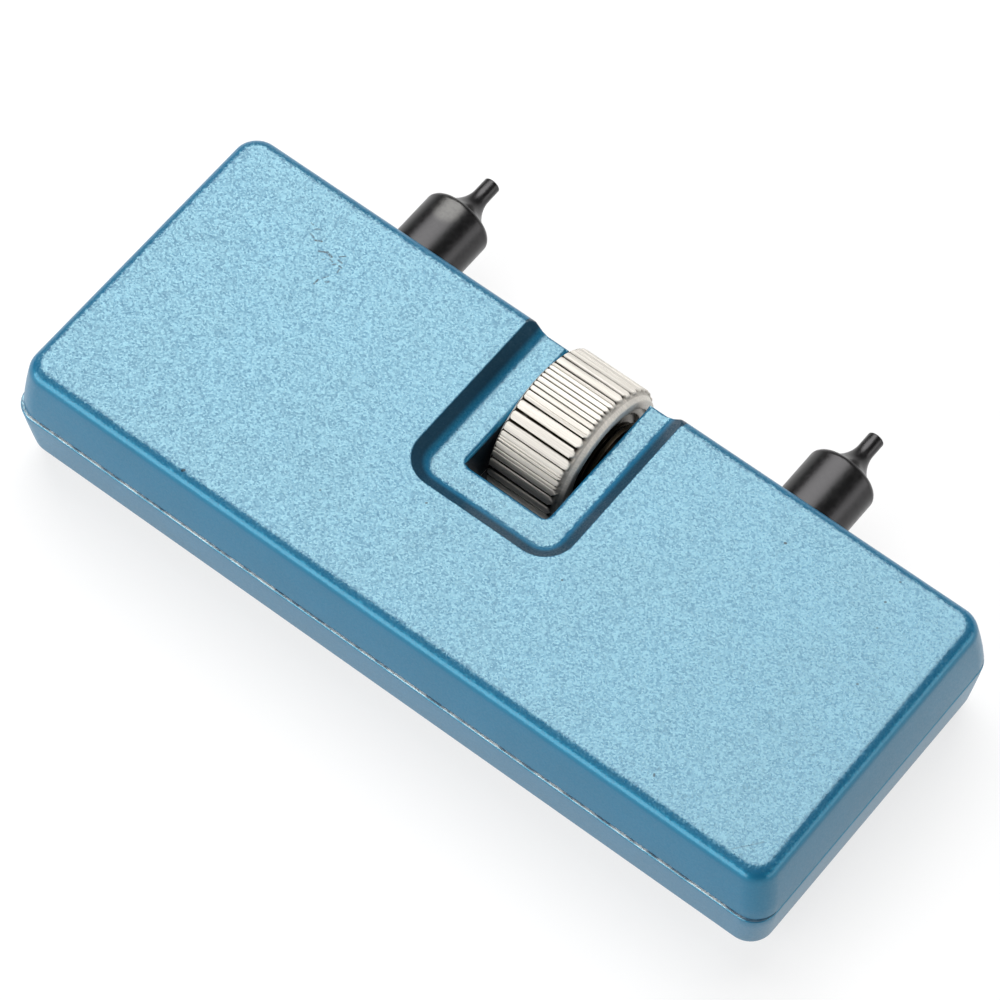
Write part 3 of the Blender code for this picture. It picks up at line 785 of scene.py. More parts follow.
@dataclass(frozen=True)
class NickelPlate:
    """Nickel with lengthwise tool lines and brown dirt at the bottom of the grooves."""

    colour: tuple[float, float, float] = (0.76, 0.73, 0.68)
    dirt: tuple[float, float, float] = (0.055, 0.042, 0.028)
    roughness: float = 0.68
    line_depth: float = 0.012 * MM

    def material(self, axis: Vector, groove_radius: float, ridge_radius: float) -> bpy.types.Material:
        """Make the plating.

        Args:
            axis: A point of the wheel's axis.
            groove_radius: Radius at the bottom of the grooves.
            ridge_radius: Radius at the top of the ridges.

        Returns:
            The material.
        """
        graph = Graph("nickel_plate")
        radius = graph.axis_distance(axis)
        lines = graph.noise(1.0, 4.0, graph.mapped(scale=(160.0, 9000.0, 9000.0)))
        patches = graph.noise(700.0, 3.0)
        depth = ridge_radius - groove_radius
        low = graph.band(radius, groove_radius + 0.43 * depth, groove_radius + 0.83 * depth, 1.0, 0.0)
        outside = graph.band(radius, groove_radius - 0.25 * depth, groove_radius - 0.05 * depth)
        inner = graph.band(graph.split(graph.place)[0], axis.x + 2.6 * MM, axis.x + 3.0 * MM, 1.0, 0.3)
        dirty = graph.math("MULTIPLY", graph.math("MULTIPLY", low, outside),
                           graph.math("MULTIPLY", graph.band(patches, 0.25, 0.5, 0.72, 1.0), inner))
        shade = graph.band(lines, 0.3, 0.75, 0.86, 1.06)
        colour = graph.blend(dirty, graph.tinted(self.colour, shade), self.dirt)
        rough = graph.band(lines, 0.2, 0.8, self.roughness - 0.06, self.roughness + 0.08)
        rough = graph.math("ADD", rough, graph.math("MULTIPLY", dirty, 0.3))
        return graph.finish(Base_Color=colour, Metallic=1.0, Roughness=rough,
                            Normal=graph.bump(lines, self.line_depth))


@dataclass(frozen=True)
class BlackOxide:
    """Blackened steel, faintly mottled, with one grey rub mark on the top line of the left pin that is also a painted
    highlight.
    """

    colour: tuple[float, float, float] = (0.040, 0.039, 0.040)
    # Grey of the rub mark, which also paints a brighter highlight on the pin's top line.
    rub_and_painted_light: tuple[float, float, float] = (0.078, 0.077, 0.074)
    roughness: float = 0.31
    # Centre of the rub mark, on the pin's highlight line.
    rub_highlight_place: tuple[float, float, float] = (-21.25 * MM, 15.3 * MM, 10.3 * MM)
    rub_highlight_radius: float = 1.5 * MM

    def material(self) -> bpy.types.Material:
        """Make the finish.

        Returns:
            The material.
        """
        graph = Graph("black_oxide")
        mottle = graph.noise(2600.0, 5.0)
        away = graph.vector("DISTANCE", graph.place, self.rub_highlight_place).outputs["Value"]
        # Rub mark and painted highlight on the left pin.
        rub_highlight_patch = graph.band(away, 0.6 * self.rub_highlight_radius, 1.2 * self.rub_highlight_radius, 1.0, 0.0)
        worn_and_highlight = graph.math("MULTIPLY", graph.band(mottle, 0.3, 0.6, 0.6, 1.0), rub_highlight_patch)
        shade = graph.band(mottle, 0.3, 0.7, 0.92, 1.08)
        colour = graph.blend(worn_and_highlight, graph.tinted(self.colour, shade), self.rub_and_painted_light)
        rough = graph.band(mottle, 0.3, 0.7, self.roughness - 0.03, self.roughness + 0.05)
        return graph.finish(Base_Color=colour, Metallic=0.85, Roughness=rough,
                            Normal=graph.bump(mottle, 0.0012 * MM))


@dataclass(frozen=True)
class CutMetal:
    """Bare metal with fine tool marks along one direction, tarnish, and grease near the wheel."""

    name: str
    colour: tuple[float, float, float]
    tarnish: tuple[float, float, float]
    stretch: tuple[float, float, float]
    roughness: float = 0.30
    grease: tuple[float, float, float] = (0.05, 0.04, 0.028)

    def material(self) -> bpy.types.Material:
        """Make the finish.

        Returns:
            The material.
        """
        graph = Graph(self.name)
        marks = graph.noise(1.0, 3.0, graph.mapped(scale=self.stretch))
        stains = graph.band(graph.noise(330.0, 4.0), 0.45, 0.72)
        bright = graph.tinted(self.colour, graph.band(marks, 0.3, 0.7, 0.9, 1.08))
        colour = graph.blend(stains, bright, self.tarnish)
        off = graph.vector("LENGTH", graph.mapped(scale=(1.0, 0.0, 0.0))).outputs["Value"]
        colour = graph.blend(graph.band(off, 4.9 * MM, 5.6 * MM, 1.0, 0.0), colour, self.grease)
        rough = graph.band(marks, 0.2, 0.8, self.roughness - 0.05, self.roughness + 0.07)
        rough = graph.math("ADD", rough, graph.math("MULTIPLY", stains, 0.12))
        return graph.finish(Base_Color=colour, Metallic=1.0, Roughness=rough,
                            Normal=graph.bump(marks, 0.003 * MM))


STEEL = CutMetal("bright_steel", (0.58, 0.58, 0.59), (0.42, 0.41, 0.40), (5000.0, 900.0, 900.0))
BRASS = CutMetal("machined_brass", (0.74, 0.53, 0.22), (0.52, 0.35, 0.14), (700.0, 6000.0, 6000.0))


@dataclass(frozen=True)
class Layout:
    """Places that the pieces share, read from the solids."""

    centre: Vector
    half_x: float
    half_y: float
    half_z: float
    drive: Vector
    pin_x: dict[Hand, float]

    @classmethod
    def from_frame(cls) -> "Layout":
        """Read the places.

        Returns:
            The layout.
        """
        low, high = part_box("lower_shell")
        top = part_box("upper_shell")[1].z
        centre = Vector(((low.x + high.x) / 2, (low.y + high.y) / 2, (low.z + top) / 2))
        turn = next(joint for joint in frame["joints"] if joint["name"] == "wheel_turn")
        pins = {}
        for hand in Hand:
            pin_low, pin_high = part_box(f"{hand.word}_pin_bit")
            pins[hand] = (pin_low.x + pin_high.x) / 2
        return cls(centre, (high.x - low.x) / 2, (high.y - low.y) / 2, (top - low.z) / 2,
                   Vector(turn["pos_m"]), pins)


@dataclass(frozen=True)
class CaseSizes:
    """Sizes of the cuts that both case halves share, from the middle of the seam."""

    half_z: float = 6.0 * MM
    wall_steps: int = 4
    # Strength of the painted shade on the slopes of the recess.
    dish_painted_shade: float = 0.85
    seam_half_gap: float = 0.045 * MM
    land_inset: float = 1.0 * MM
    rim_width: float = 2.6 * MM
    dish_depth: float = 1.2 * MM
    dish_half_width: float = 8.05 * MM
    dish_near_y: float = -3.0 * MM
    dish_rim_radius: float = 3.0 * MM
    dish_wall_run: float = 1.55 * MM
    dish_floor_round: float = 0.28 * MM
    dish_rim_round: float = 0.10 * MM
    dish_far_round: float = 0.25 * MM
    dish_far_step: float = 0.40 * MM
    window_left_x: float = -4.05 * MM
    window_right_x: float = 4.4 * MM
    window_near_y: float = 1.0 * MM
    window_corner: float = 0.6 * MM
    window_edge_round: float = 0.45 * MM
    slot_inner_x: float = 6.6 * MM
    slot_outer_x: float = 33.0 * MM
    slot_near_y: float = 5.0 * MM
    slot_half_height: float = 3.55 * MM
    slot_edge_round: float = 0.18 * MM
    seam_edge_round: float = 0.21 * MM
    seat_overlap: float = 0.3 * MM
    cheek_seat_radius: float = 3.4 * MM
    end_seat_radius: float = 2.5 * MM
    end_seat_x: float = 35.6 * MM
    screw_x: float = 34.6 * MM
    screw_front_y: float = -11.4 * MM
    screw_rear_y: float = 4.6 * MM
    screw_head_radius: float = 2.2 * MM
    screw_hole_radius: float = 1.3 * MM
    screw_sunk: float = 0.15 * MM
    overrun: float = 2.0 * MM
    corner_steps: int = 12
    fillet_steps: int = 10

    def screw_places(self) -> list[tuple[str, float, float]]:
        """Name, x and y of each case screw, seen from above."""
        rows = (("front", self.screw_front_y), ("rear", self.screw_rear_y))
        return [(f"{row}_{hand.word}_case_screw", hand.value * self.screw_x, y) for row, y in rows
                for hand in Hand]


@dataclass(frozen=True)
class CaseHalf:
    """One half of the case: a drafted shell with a dished recess, a wheel window and two slots."""

    name: str
    node: str
    side: int
    step_in: float
    seam_shift: Vector
    face_shift: Vector
    low_draft: float
    high_draft: float
    corner_radius: float
    fillet: float
    layout: Layout
    sizes: CaseSizes

    def build(self, paint: bpy.types.Material) -> bpy.types.Object:
        """Model the half and dress it.

        Args:
            paint: Paint of the case.

        Returns:
            The piece.
        """
        bm = carved(self.outer_form(), self.cutters())
        self.round_openings(bm)
        if self.side < 0:
            bmesh.ops.scale(bm, vec=(1.0, 1.0, -1.0), verts=bm.verts)
            bmesh.ops.reverse_faces(bm, faces=bm.faces)
        bmesh.ops.recalc_face_normals(bm, faces=bm.faces)
        return finished(moved(bm, self.layout.centre), self.name, paint, self.node, Body.CASE)

    def outer_form(self) -> bmesh.types.BMesh:
        """Drafted block from the seam to the flat face, face up, with a land that closes the seam."""
        sizes, layout = self.sizes, self.layout
        half_x = layout.half_x - self.step_in
        half_y = layout.half_y - self.step_in
        rise = layout.half_z - sizes.seam_half_gap
        bm, face = rounded_face((-half_x, -half_y), (half_x, half_y), sizes.seam_half_gap,
                                self.corner_radius, sizes.corner_steps)
        step = rise / sizes.wall_steps
        for lean in self.leans():
            face = raised(bm, face, lean * step, step)
        bmesh.ops.recalc_face_normals(bm, faces=bm.faces)
        round_edges(bm, face.edges, self.fillet * math.tan((math.pi / 2 - self.high_draft) / 2),
                    sizes.fillet_steps)
        slant = (self.face_shift - self.seam_shift) / layout.half_z
        shear = Matrix.Shear("XY", 4, (slant.x, slant.y))
        bmesh.ops.transform(bm, matrix=Matrix.Translation(self.seam_shift) @ shear, verts=bm.verts)
        bm.faces.ensure_lookup_table()
        seam = min(bm.faces, key=lambda each: each.calc_center_median().z)
        bmesh.ops.inset_region(bm, faces=[seam], thickness=sizes.land_inset, use_even_offset=True)
        bmesh.ops.inset_region(bm, faces=[seam], thickness=sizes.seam_half_gap,
                               depth=sizes.seam_half_gap, use_even_offset=True)
        return bm

    def cutters(self) -> list[bmesh.types.BMesh]:
        """Shapes of the recess and its far edge, the window, the slots, the seats and the screw holes."""
        sizes, layout = self.sizes, self.layout
        far_y = layout.half_y + sizes.overrun
        past = layout.half_z + sizes.overrun
        drive = layout.drive - layout.centre
        window = block((sizes.window_left_x, sizes.window_near_y, -past),
                       (sizes.window_right_x, far_y, past))
        near = [edge for edge in window.edges
                if all(abs(vert.co.y - sizes.window_near_y) < WELD for vert in edge.verts)
                and abs(edge.verts[0].co.z - edge.verts[1].co.z) > past]
        round_edges(window, near, sizes.window_corner, 5)
        shapes = [self.dish(), self.far_round(), window]
        for hand in Hand:
            inner, outer = sorted((hand.value * sizes.slot_inner_x, hand.value * sizes.slot_outer_x))
            shapes.append(block((inner, sizes.slot_near_y, -sizes.slot_half_height),
                                (outer, far_y, sizes.slot_half_height)))
            cheek = sorted((0.0, hand.value * (sizes.slot_inner_x + sizes.seat_overlap)))
            end = sorted((hand.value * (sizes.slot_outer_x - sizes.seat_overlap),
                          hand.value * sizes.end_seat_x))
            for (start, stop), radius in ((cheek, sizes.cheek_seat_radius), (end, sizes.end_seat_radius)):
                profile = [(start, 0.0), (start, radius), (stop, radius), (stop, 0.0)]
                shapes.append(moved(turned(profile, Axis.ALONG_X, 48), drive))
        if self.side < 0:
            shapes += [self.screw_hole(x, y) for _, x, y in sizes.screw_places()]
        return shapes

    def dish(self) -> bmesh.types.BMesh:
        """Shape of the recess: a flat floor whose walls flare past the face, open at the far edge."""
        sizes = self.sizes
        spread = sizes.dish_wall_run
        rim = sizes.dish_half_width + spread
        far_y = self.layout.half_y + sizes.overrun + 2 * spread
        bm, floor = rounded_face((-rim, sizes.dish_near_y - spread), (rim, far_y),
                                 self.layout.half_z + sizes.dish_depth, sizes.dish_rim_radius + spread,
                                 sizes.corner_steps, near_only=True)
        tapered(bm, floor, 2 * spread, -2 * sizes.dish_depth)
        open_y = self.layout.half_y + sizes.overrun / 2
        walls = [edge for edge in floor.edges if min(vert.co.y for vert in edge.verts) < open_y]
        round_edges(bm, walls, sizes.dish_floor_round, 6)
        return bm

    def leans(self) -> list[float]:
        """How far each step of the wall leans in for its height."""
        steps = self.sizes.wall_steps
        shares = [(number + 0.5) / steps for number in range(steps)]
        return [math.tan(self.low_draft + (self.high_draft - self.low_draft) * share) for share in shares]

    def far_round(self) -> bmesh.types.BMesh:
        """Shape that carries the recess over the far edge: a small fillet and a wall set back a little.

        It runs down the walls of the recess and along its floor, and fades out at the rim.
        """
        sizes, layout = self.sizes, self.layout
        depth, run, radius = sizes.dish_depth, sizes.dish_wall_run, sizes.dish_far_round
        lean = math.tan(self.high_draft)
        fall = sum(self.leans()) / sizes.wall_steps * (layout.half_z - sizes.seam_half_gap)
        face_y = layout.half_y - self.step_in - fall + self.face_shift.y
        edge_y = face_y + depth * lean - sizes.dish_far_step
        floor_z = layout.half_z - depth
        middle_y = edge_y - radius * math.tan((math.pi / 2 - self.high_draft) / 2)
        turn = (math.pi / 2 - self.high_draft) / sizes.fillet_steps
        angles = [math.pi / 2 - turn * number for number in range(sizes.fillet_steps + 1)]
        outline = [(middle_y + radius * math.cos(angle), floor_z - radius + radius * math.sin(angle))
                   for angle in angles]
        out_y, low_z = layout.half_y + 2 * sizes.overrun, -2 * sizes.overrun
        top_z = layout.half_z + sizes.overrun
        outline += [(edge_y + (floor_z - low_z) * lean, low_z), (out_y, low_z), (out_y, top_z),
                    (outline[0][0], top_z)]
        floor_x = sizes.dish_half_width - run
        path = [(-floor_x - 2 * run, 2 * depth), (-floor_x - 0.2 * run, 0.2 * depth),
                (-floor_x + 0.2 * run, 0.0)]
        path += [(-x, lift) for x, lift in reversed(path)]
        slope = sizes.dish_far_step / depth - lean
        bm = bmesh.new()
        start_x, lift = path[0]
        verts = [bm.verts.new((start_x, y + lift * slope, z + lift)) for y, z in outline]
        face = bm.faces.new(verts)
        for (old_x, old_z), (new_x, new_z) in zip(path, path[1:]):
            rise = new_z - old_z
            face = extruded(bm, face, Vector((new_x - old_x, rise * slope, rise)))
        bmesh.ops.recalc_face_normals(bm, faces=bm.faces)
        return bm

    def screw_hole(self, x: float, y: float) -> bmesh.types.BMesh:
        """Countersunk hole, made face up.

        Args:
            x: Place along the case.
            y: Place across the case.

        Returns:
            The shape to cut out.
        """
        sizes = self.sizes
        head_z = self.layout.half_z - sizes.screw_sunk
        neck_z = head_z - (sizes.screw_head_radius - sizes.screw_hole_radius)
        past = self.layout.half_z + sizes.overrun
        profile = [(-sizes.overrun, 0.0), (-sizes.overrun, sizes.screw_hole_radius),
                   (neck_z, sizes.screw_hole_radius), (head_z, sizes.screw_head_radius),
                   (past, sizes.screw_head_radius), (past, 0.0)]
        return moved(turned(profile, Axis.ALONG_Z, 48), Vector((x, y, 0.0)))

    def round_openings(self, bm: bmesh.types.BMesh) -> None:
        """Round the edges of the recess, the window, the slots and the seam after the cuts.

        Args:
            bm: Cut half, face up.
        """
        sizes, layout = self.sizes, self.layout
        floor_z = layout.half_z - sizes.dish_depth
        near = 0.02 * MM

        def in_dish(face: bmesh.types.BMFace) -> bool:
            """Whether a face is a sloping wall of the recess."""
            middle = face.calc_center_median()
            inside = abs(middle.x) < sizes.dish_half_width and middle.y > sizes.dish_near_y
            return inside and 0.3 < face.normal.z < 0.9 and middle.z > floor_z + 0.15 * MM

        def is_floor(face: bmesh.types.BMFace) -> bool:
            """Whether a face is the flat floor of the recess or the fillet at its far edge."""
            middle = face.calc_center_median()
            fillet = middle.y > layout.half_y - sizes.rim_width and middle.z < floor_z + near
            fillet = fillet and abs(middle.x) < sizes.dish_half_width and face.normal.z > 0.25
            return fillet or (face.normal.z > FLAT and abs(middle.z - floor_z) < near)

        def is_upright(face: bmesh.types.BMFace) -> bool:
            """Whether a face stands at right angles to the flat face."""
            return abs(face.normal.z) < 0.02

        def is_outside(face: bmesh.types.BMFace) -> bool:
            """Whether a face is the drafted outside of the case."""
            middle = face.calc_center_median()
            inside_x = abs(middle.x) <= layout.half_x - sizes.rim_width
            inside_y = abs(middle.y) <= layout.half_y - sizes.rim_width
            return not (inside_x and inside_y) and 0.05 < face.normal.z < 0.2

        def is_seam(face: bmesh.types.BMFace) -> bool:
            """Whether a face is the narrow flat ring at the seam."""
            return face.normal.z < -0.99 and face.calc_center_median().z > sizes.seam_half_gap - near

        def between(first: Callable, second: Callable) -> list[bmesh.types.BMEdge]:
            """Edges with a face of each kind."""
            found = []
            for edge in bm.edges:
                if len(edge.link_faces) == 2:
                    one, other = edge.link_faces
                    if edge.calc_face_angle(0.0) < math.radians(18.0):
                        continue
                    if (first(one) and second(other)) or (first(other) and second(one)):
                        found.append(edge)
            return found

        def off_dish(face: bmesh.types.BMFace) -> bool:
            """Whether a face beside the recess's wall lies outside the recess."""
            middle = face.calc_center_median()
            flat = face.normal.z > FLAT and abs(middle.z - layout.half_z) < near
            fillet = middle.y > layout.half_y - sizes.rim_width and not in_dish(face)
            return flat or fillet

        def is_far_wall(face: bmesh.types.BMFace) -> bool:
            """Whether a face is the outside of the far edge."""
            return is_outside(face) and face.normal.y > 0.9

        def is_slot_side(face: bmesh.types.BMFace) -> bool:
            """Whether a face is an end or the ceiling of a slot, or a wall of the window."""
            return is_upright(face) or face.normal.z < -FLAT

        round_edges(bm, between(is_floor, is_upright), sizes.window_edge_round, 4)
        round_edges(bm, between(is_far_wall, is_slot_side), sizes.slot_edge_round, 3)
        round_edges(bm, between(is_outside, is_seam), sizes.seam_edge_round, 3)
        round_edges(bm, between(in_dish, off_dish), sizes.dish_rim_round, 3)


def joined(first: bmesh.types.BMesh, *others: bmesh.types.BMesh) -> bmesh.types.BMesh:
    """Put meshes into one.

    Args:
        first: Mesh that takes the others.
        others: Meshes to use up.

    Returns:
        The first mesh.
    """
    for other in others:
        mesh = bpy.data.meshes.new("joined")
        other.to_mesh(mesh)
        other.free()
        first.from_mesh(mesh)
        bpy.data.meshes.remove(mesh)
    return first


@dataclass(frozen=True)
class Groove:
    """One groove of the knurl: degrees from the top towards the front, half width and share of depth."""

    angle: float
    half_width: float
    depth: float


SEEN_GROOVES = (
    Groove(-52.0, 0.08, 0.6), Groove(-43.4, 0.11, 0.8), Groove(-34.4, 0.12, 0.8), Groove(-25.8, 0.12, 0.8),
    Groove(-16.9, 0.10, 0.9), Groove(-12.9, 0.05, 0.4), Groove(-9.3, 0.06, 0.6), Groove(-4.7, 0.06, 0.6),
    Groove(-1.1, 0.06, 0.55), Groove(3.5, 0.05, 0.5), Groove(7.3, 0.06, 0.55), Groove(11.7, 0.07, 0.6),
    Groove(16.1, 0.04, 0.25), Groove(19.5, 0.09, 0.9), Groove(27.9, 0.13, 1.0), Groove(36.5, 0.12, 1.0),
    Groove(44.7, 0.07, 0.6), Groove(48.9, 0.04, 0.3), Groove(50.9, 0.04, 0.35), Groove(53.4, 0.06, 0.5),
    Groove(58.4, 0.06, 0.5), Groove(61.2, 0.06, 0.5), Groove(67.4, 0.11, 1.0), Groove(77.2, 0.22, 1.0),
)


@dataclass
class ThumbWheel:
    """Knurled wheel: uneven ridges cut along its axis, a conical rim and a stepped counterbore."""

    layout: Layout
    radius: float = 7.05 * MM
    left_x: float = -3.85 * MM
    right_x: float = 3.60 * MM
    knurl_left_x: float = -3.6 * MM
    knurl_right_x: float = 3.05 * MM
    groove_depth: float = 0.35 * MM
    crown: float = 0.04 * MM
    right_flare: float = 0.4 * MM
    right_flare_run: float = 0.38 * MM
    right_end_round: float = 0.14 * MM
    left_flare: float = 0.2 * MM
    left_flare_run: float = 0.25 * MM
    left_end_round: float = 0.12 * MM
    rim_radius: float = 6.72 * MM
    rim_end_radius: float = 6.42 * MM
    left_face_radius: float = 6.40 * MM
    bore_radius: float = 2.32 * MM
    counterbore_radius: float = 4.9 * MM
    step_radius: float = 5.6 * MM
    step_depth: float = 0.35 * MM
    hub_left_x: float = -2.35 * MM
    hub_right_x: float = 2.7 * MM
    ridges: int = 40
    points_per_ridge: int = 24
    seed: int = 11
    grooves: list[Groove] = field(default_factory=list)
    ends: list[float] = field(default_factory=list)
    lines: list[float] = field(default_factory=list)

    def build(self, nickel: NickelPlate) -> bpy.types.Object:
        """Model the wheel and dress it.

        Args:
            nickel: Finish of the wheel.

        Returns:
            The piece.
        """
        self.draw_knurl()
        bm = self.body()
        self.cut_knurl(bm)
        bmesh.ops.recalc_face_normals(bm, faces=bm.faces)
        finish = nickel.material(self.layout.drive, self.radius - self.groove_depth, self.radius)
        return finished(moved(bm, self.layout.drive), "knurled_wheel", finish, "thumb_wheel", Body.DRIVE)

    def draw_knurl(self) -> None:
        """Take the grooves that are seen and choose the others, the same on every run."""
        chance = random.Random(self.seed)
        pitch = 360.0 / self.ridges
        self.grooves = list(SEEN_GROOVES)
        while self.grooves[-1].angle + 1.5 * pitch < self.grooves[0].angle + 360.0:
            angle = self.grooves[-1].angle + pitch * chance.uniform(0.9, 1.1)
            self.grooves.append(Groove(angle, chance.uniform(0.06, 0.13), chance.uniform(0.5, 1.0)))
        self.ends = [chance.uniform(-0.15, 0.0) * MM for _ in range(self.ridges)]
        self.lines = [chance.uniform(0.0, 0.03) * MM for _ in range(self.ridges * self.points_per_ridge)]

    def body(self) -> bmesh.types.BMesh:
        """Turned wheel whose rim is still plain, with rows of points where the knurl will be."""
        left, right = self.knurl_left_x, self.knurl_right_x
        rows = [left, left + 0.08 * MM, left + 0.2 * MM, 0.0, right - 0.42 * MM, right - 0.32 * MM,
                right - 0.22 * MM, right - 0.12 * MM, right - 0.05 * MM, right - 0.01 * MM]
        step_x = self.right_x - self.step_depth
        profile = [(self.hub_left_x, self.bore_radius), (self.hub_left_x, self.counterbore_radius),
                   (self.left_x, self.counterbore_radius), (self.left_x, self.left_face_radius)]
        profile += [(x, self.radius) for x in rows]
        profile += [(right, self.rim_radius), (self.right_x, self.rim_end_radius),
                    (self.right_x, self.step_radius), (step_x, self.step_radius),
                    (step_x, self.counterbore_radius), (self.hub_right_x, self.counterbore_radius),
                    (self.hub_right_x, self.bore_radius)]
        rounds = [Round(self.left_x, self.counterbore_radius, 0.08 * MM),
                  Round(self.left_x, self.left_face_radius, 0.06 * MM),
                  Round(self.right_x, self.rim_end_radius, 0.12 * MM),
                  Round(self.right_x, self.step_radius, 0.05 * MM),
                  Round(step_x, self.counterbore_radius, 0.06 * MM)]
        return turned(profile, Axis.ALONG_X, self.ridges * self.points_per_ridge, True, rounds)

    def cut_knurl(self, bm: bmesh.types.BMesh) -> None:
        """Sink the grooves and round the ridges' ends by moving the points of the plain rim.

        Args:
            bm: Turned wheel around X.
        """
        pitch = math.tau / self.ridges
        columns = self.ridges * self.points_per_ridge
        for vert in bm.verts:
            radius = math.hypot(vert.co.y, vert.co.z)
            if radius < self.radius - 0.01 * MM:
                continue
            angle = math.atan2(vert.co.z, vert.co.y) % math.tau
            ridge = int(angle / pitch) % self.ridges
            line = self.lines[round(angle / math.tau * columns) % columns]
            from_right = self.knurl_right_x - vert.co.x
            from_left = vert.co.x - self.knurl_left_x
            widen = self.right_flare * max(0.0, 1.0 - from_right / self.right_flare_run) ** 1.2
            widen += self.left_flare * max(0.0, 1.0 - from_left / self.left_flare_run)
            drop = line + max(self.groove_drop(groove, angle, widen) for groove in self.grooves)
            drop += self.end_drop(from_right, self.right_end_round)
            drop += self.end_drop(from_left, self.left_end_round)
            if from_right < 0.4 * MM:
                vert.co.x += self.ends[ridge]
            lower = max(self.radius - drop, self.rim_radius - 0.02 * MM) / radius
            vert.co.y *= lower
            vert.co.z *= lower

    def groove_drop(self, groove: Groove, angle: float, widen: float) -> float:
        """Depth of one groove at an angle.

        Args:
            groove: The groove.
            angle: Angle around the axis.
            widen: How much a groove of full depth is wider on each side than drawn.

        Returns:
            How far the groove lies below the rim there.
        """
        middle = math.radians(90.0 + groove.angle)
        off = abs((angle - middle + math.pi) % math.tau - math.pi) * self.radius
        half_ridge = math.pi / self.ridges * self.radius
        crown = self.crown * groove.depth ** 2 * max(0.0, 1.0 - off / half_ridge) ** 1.6
        depth = (self.groove_depth - self.crown) * groove.depth
        half_width = groove.half_width * MM + widen * groove.depth
        return crown + depth * max(0.0, 1.0 - (off / half_width) ** 1.6)

    @staticmethod
    def end_drop(distance: float, size: float) -> float:
        """Fall of a round ridge end.

        Args:
            distance: Distance from the end.
            size: Radius of the rounding.

        Returns:
            How far the end lies below the ridge there.
        """
        inside = min(max(1.0 - distance / size, 0.0), 1.0)
        return size * (1.0 - math.sqrt(1.0 - inside * inside))


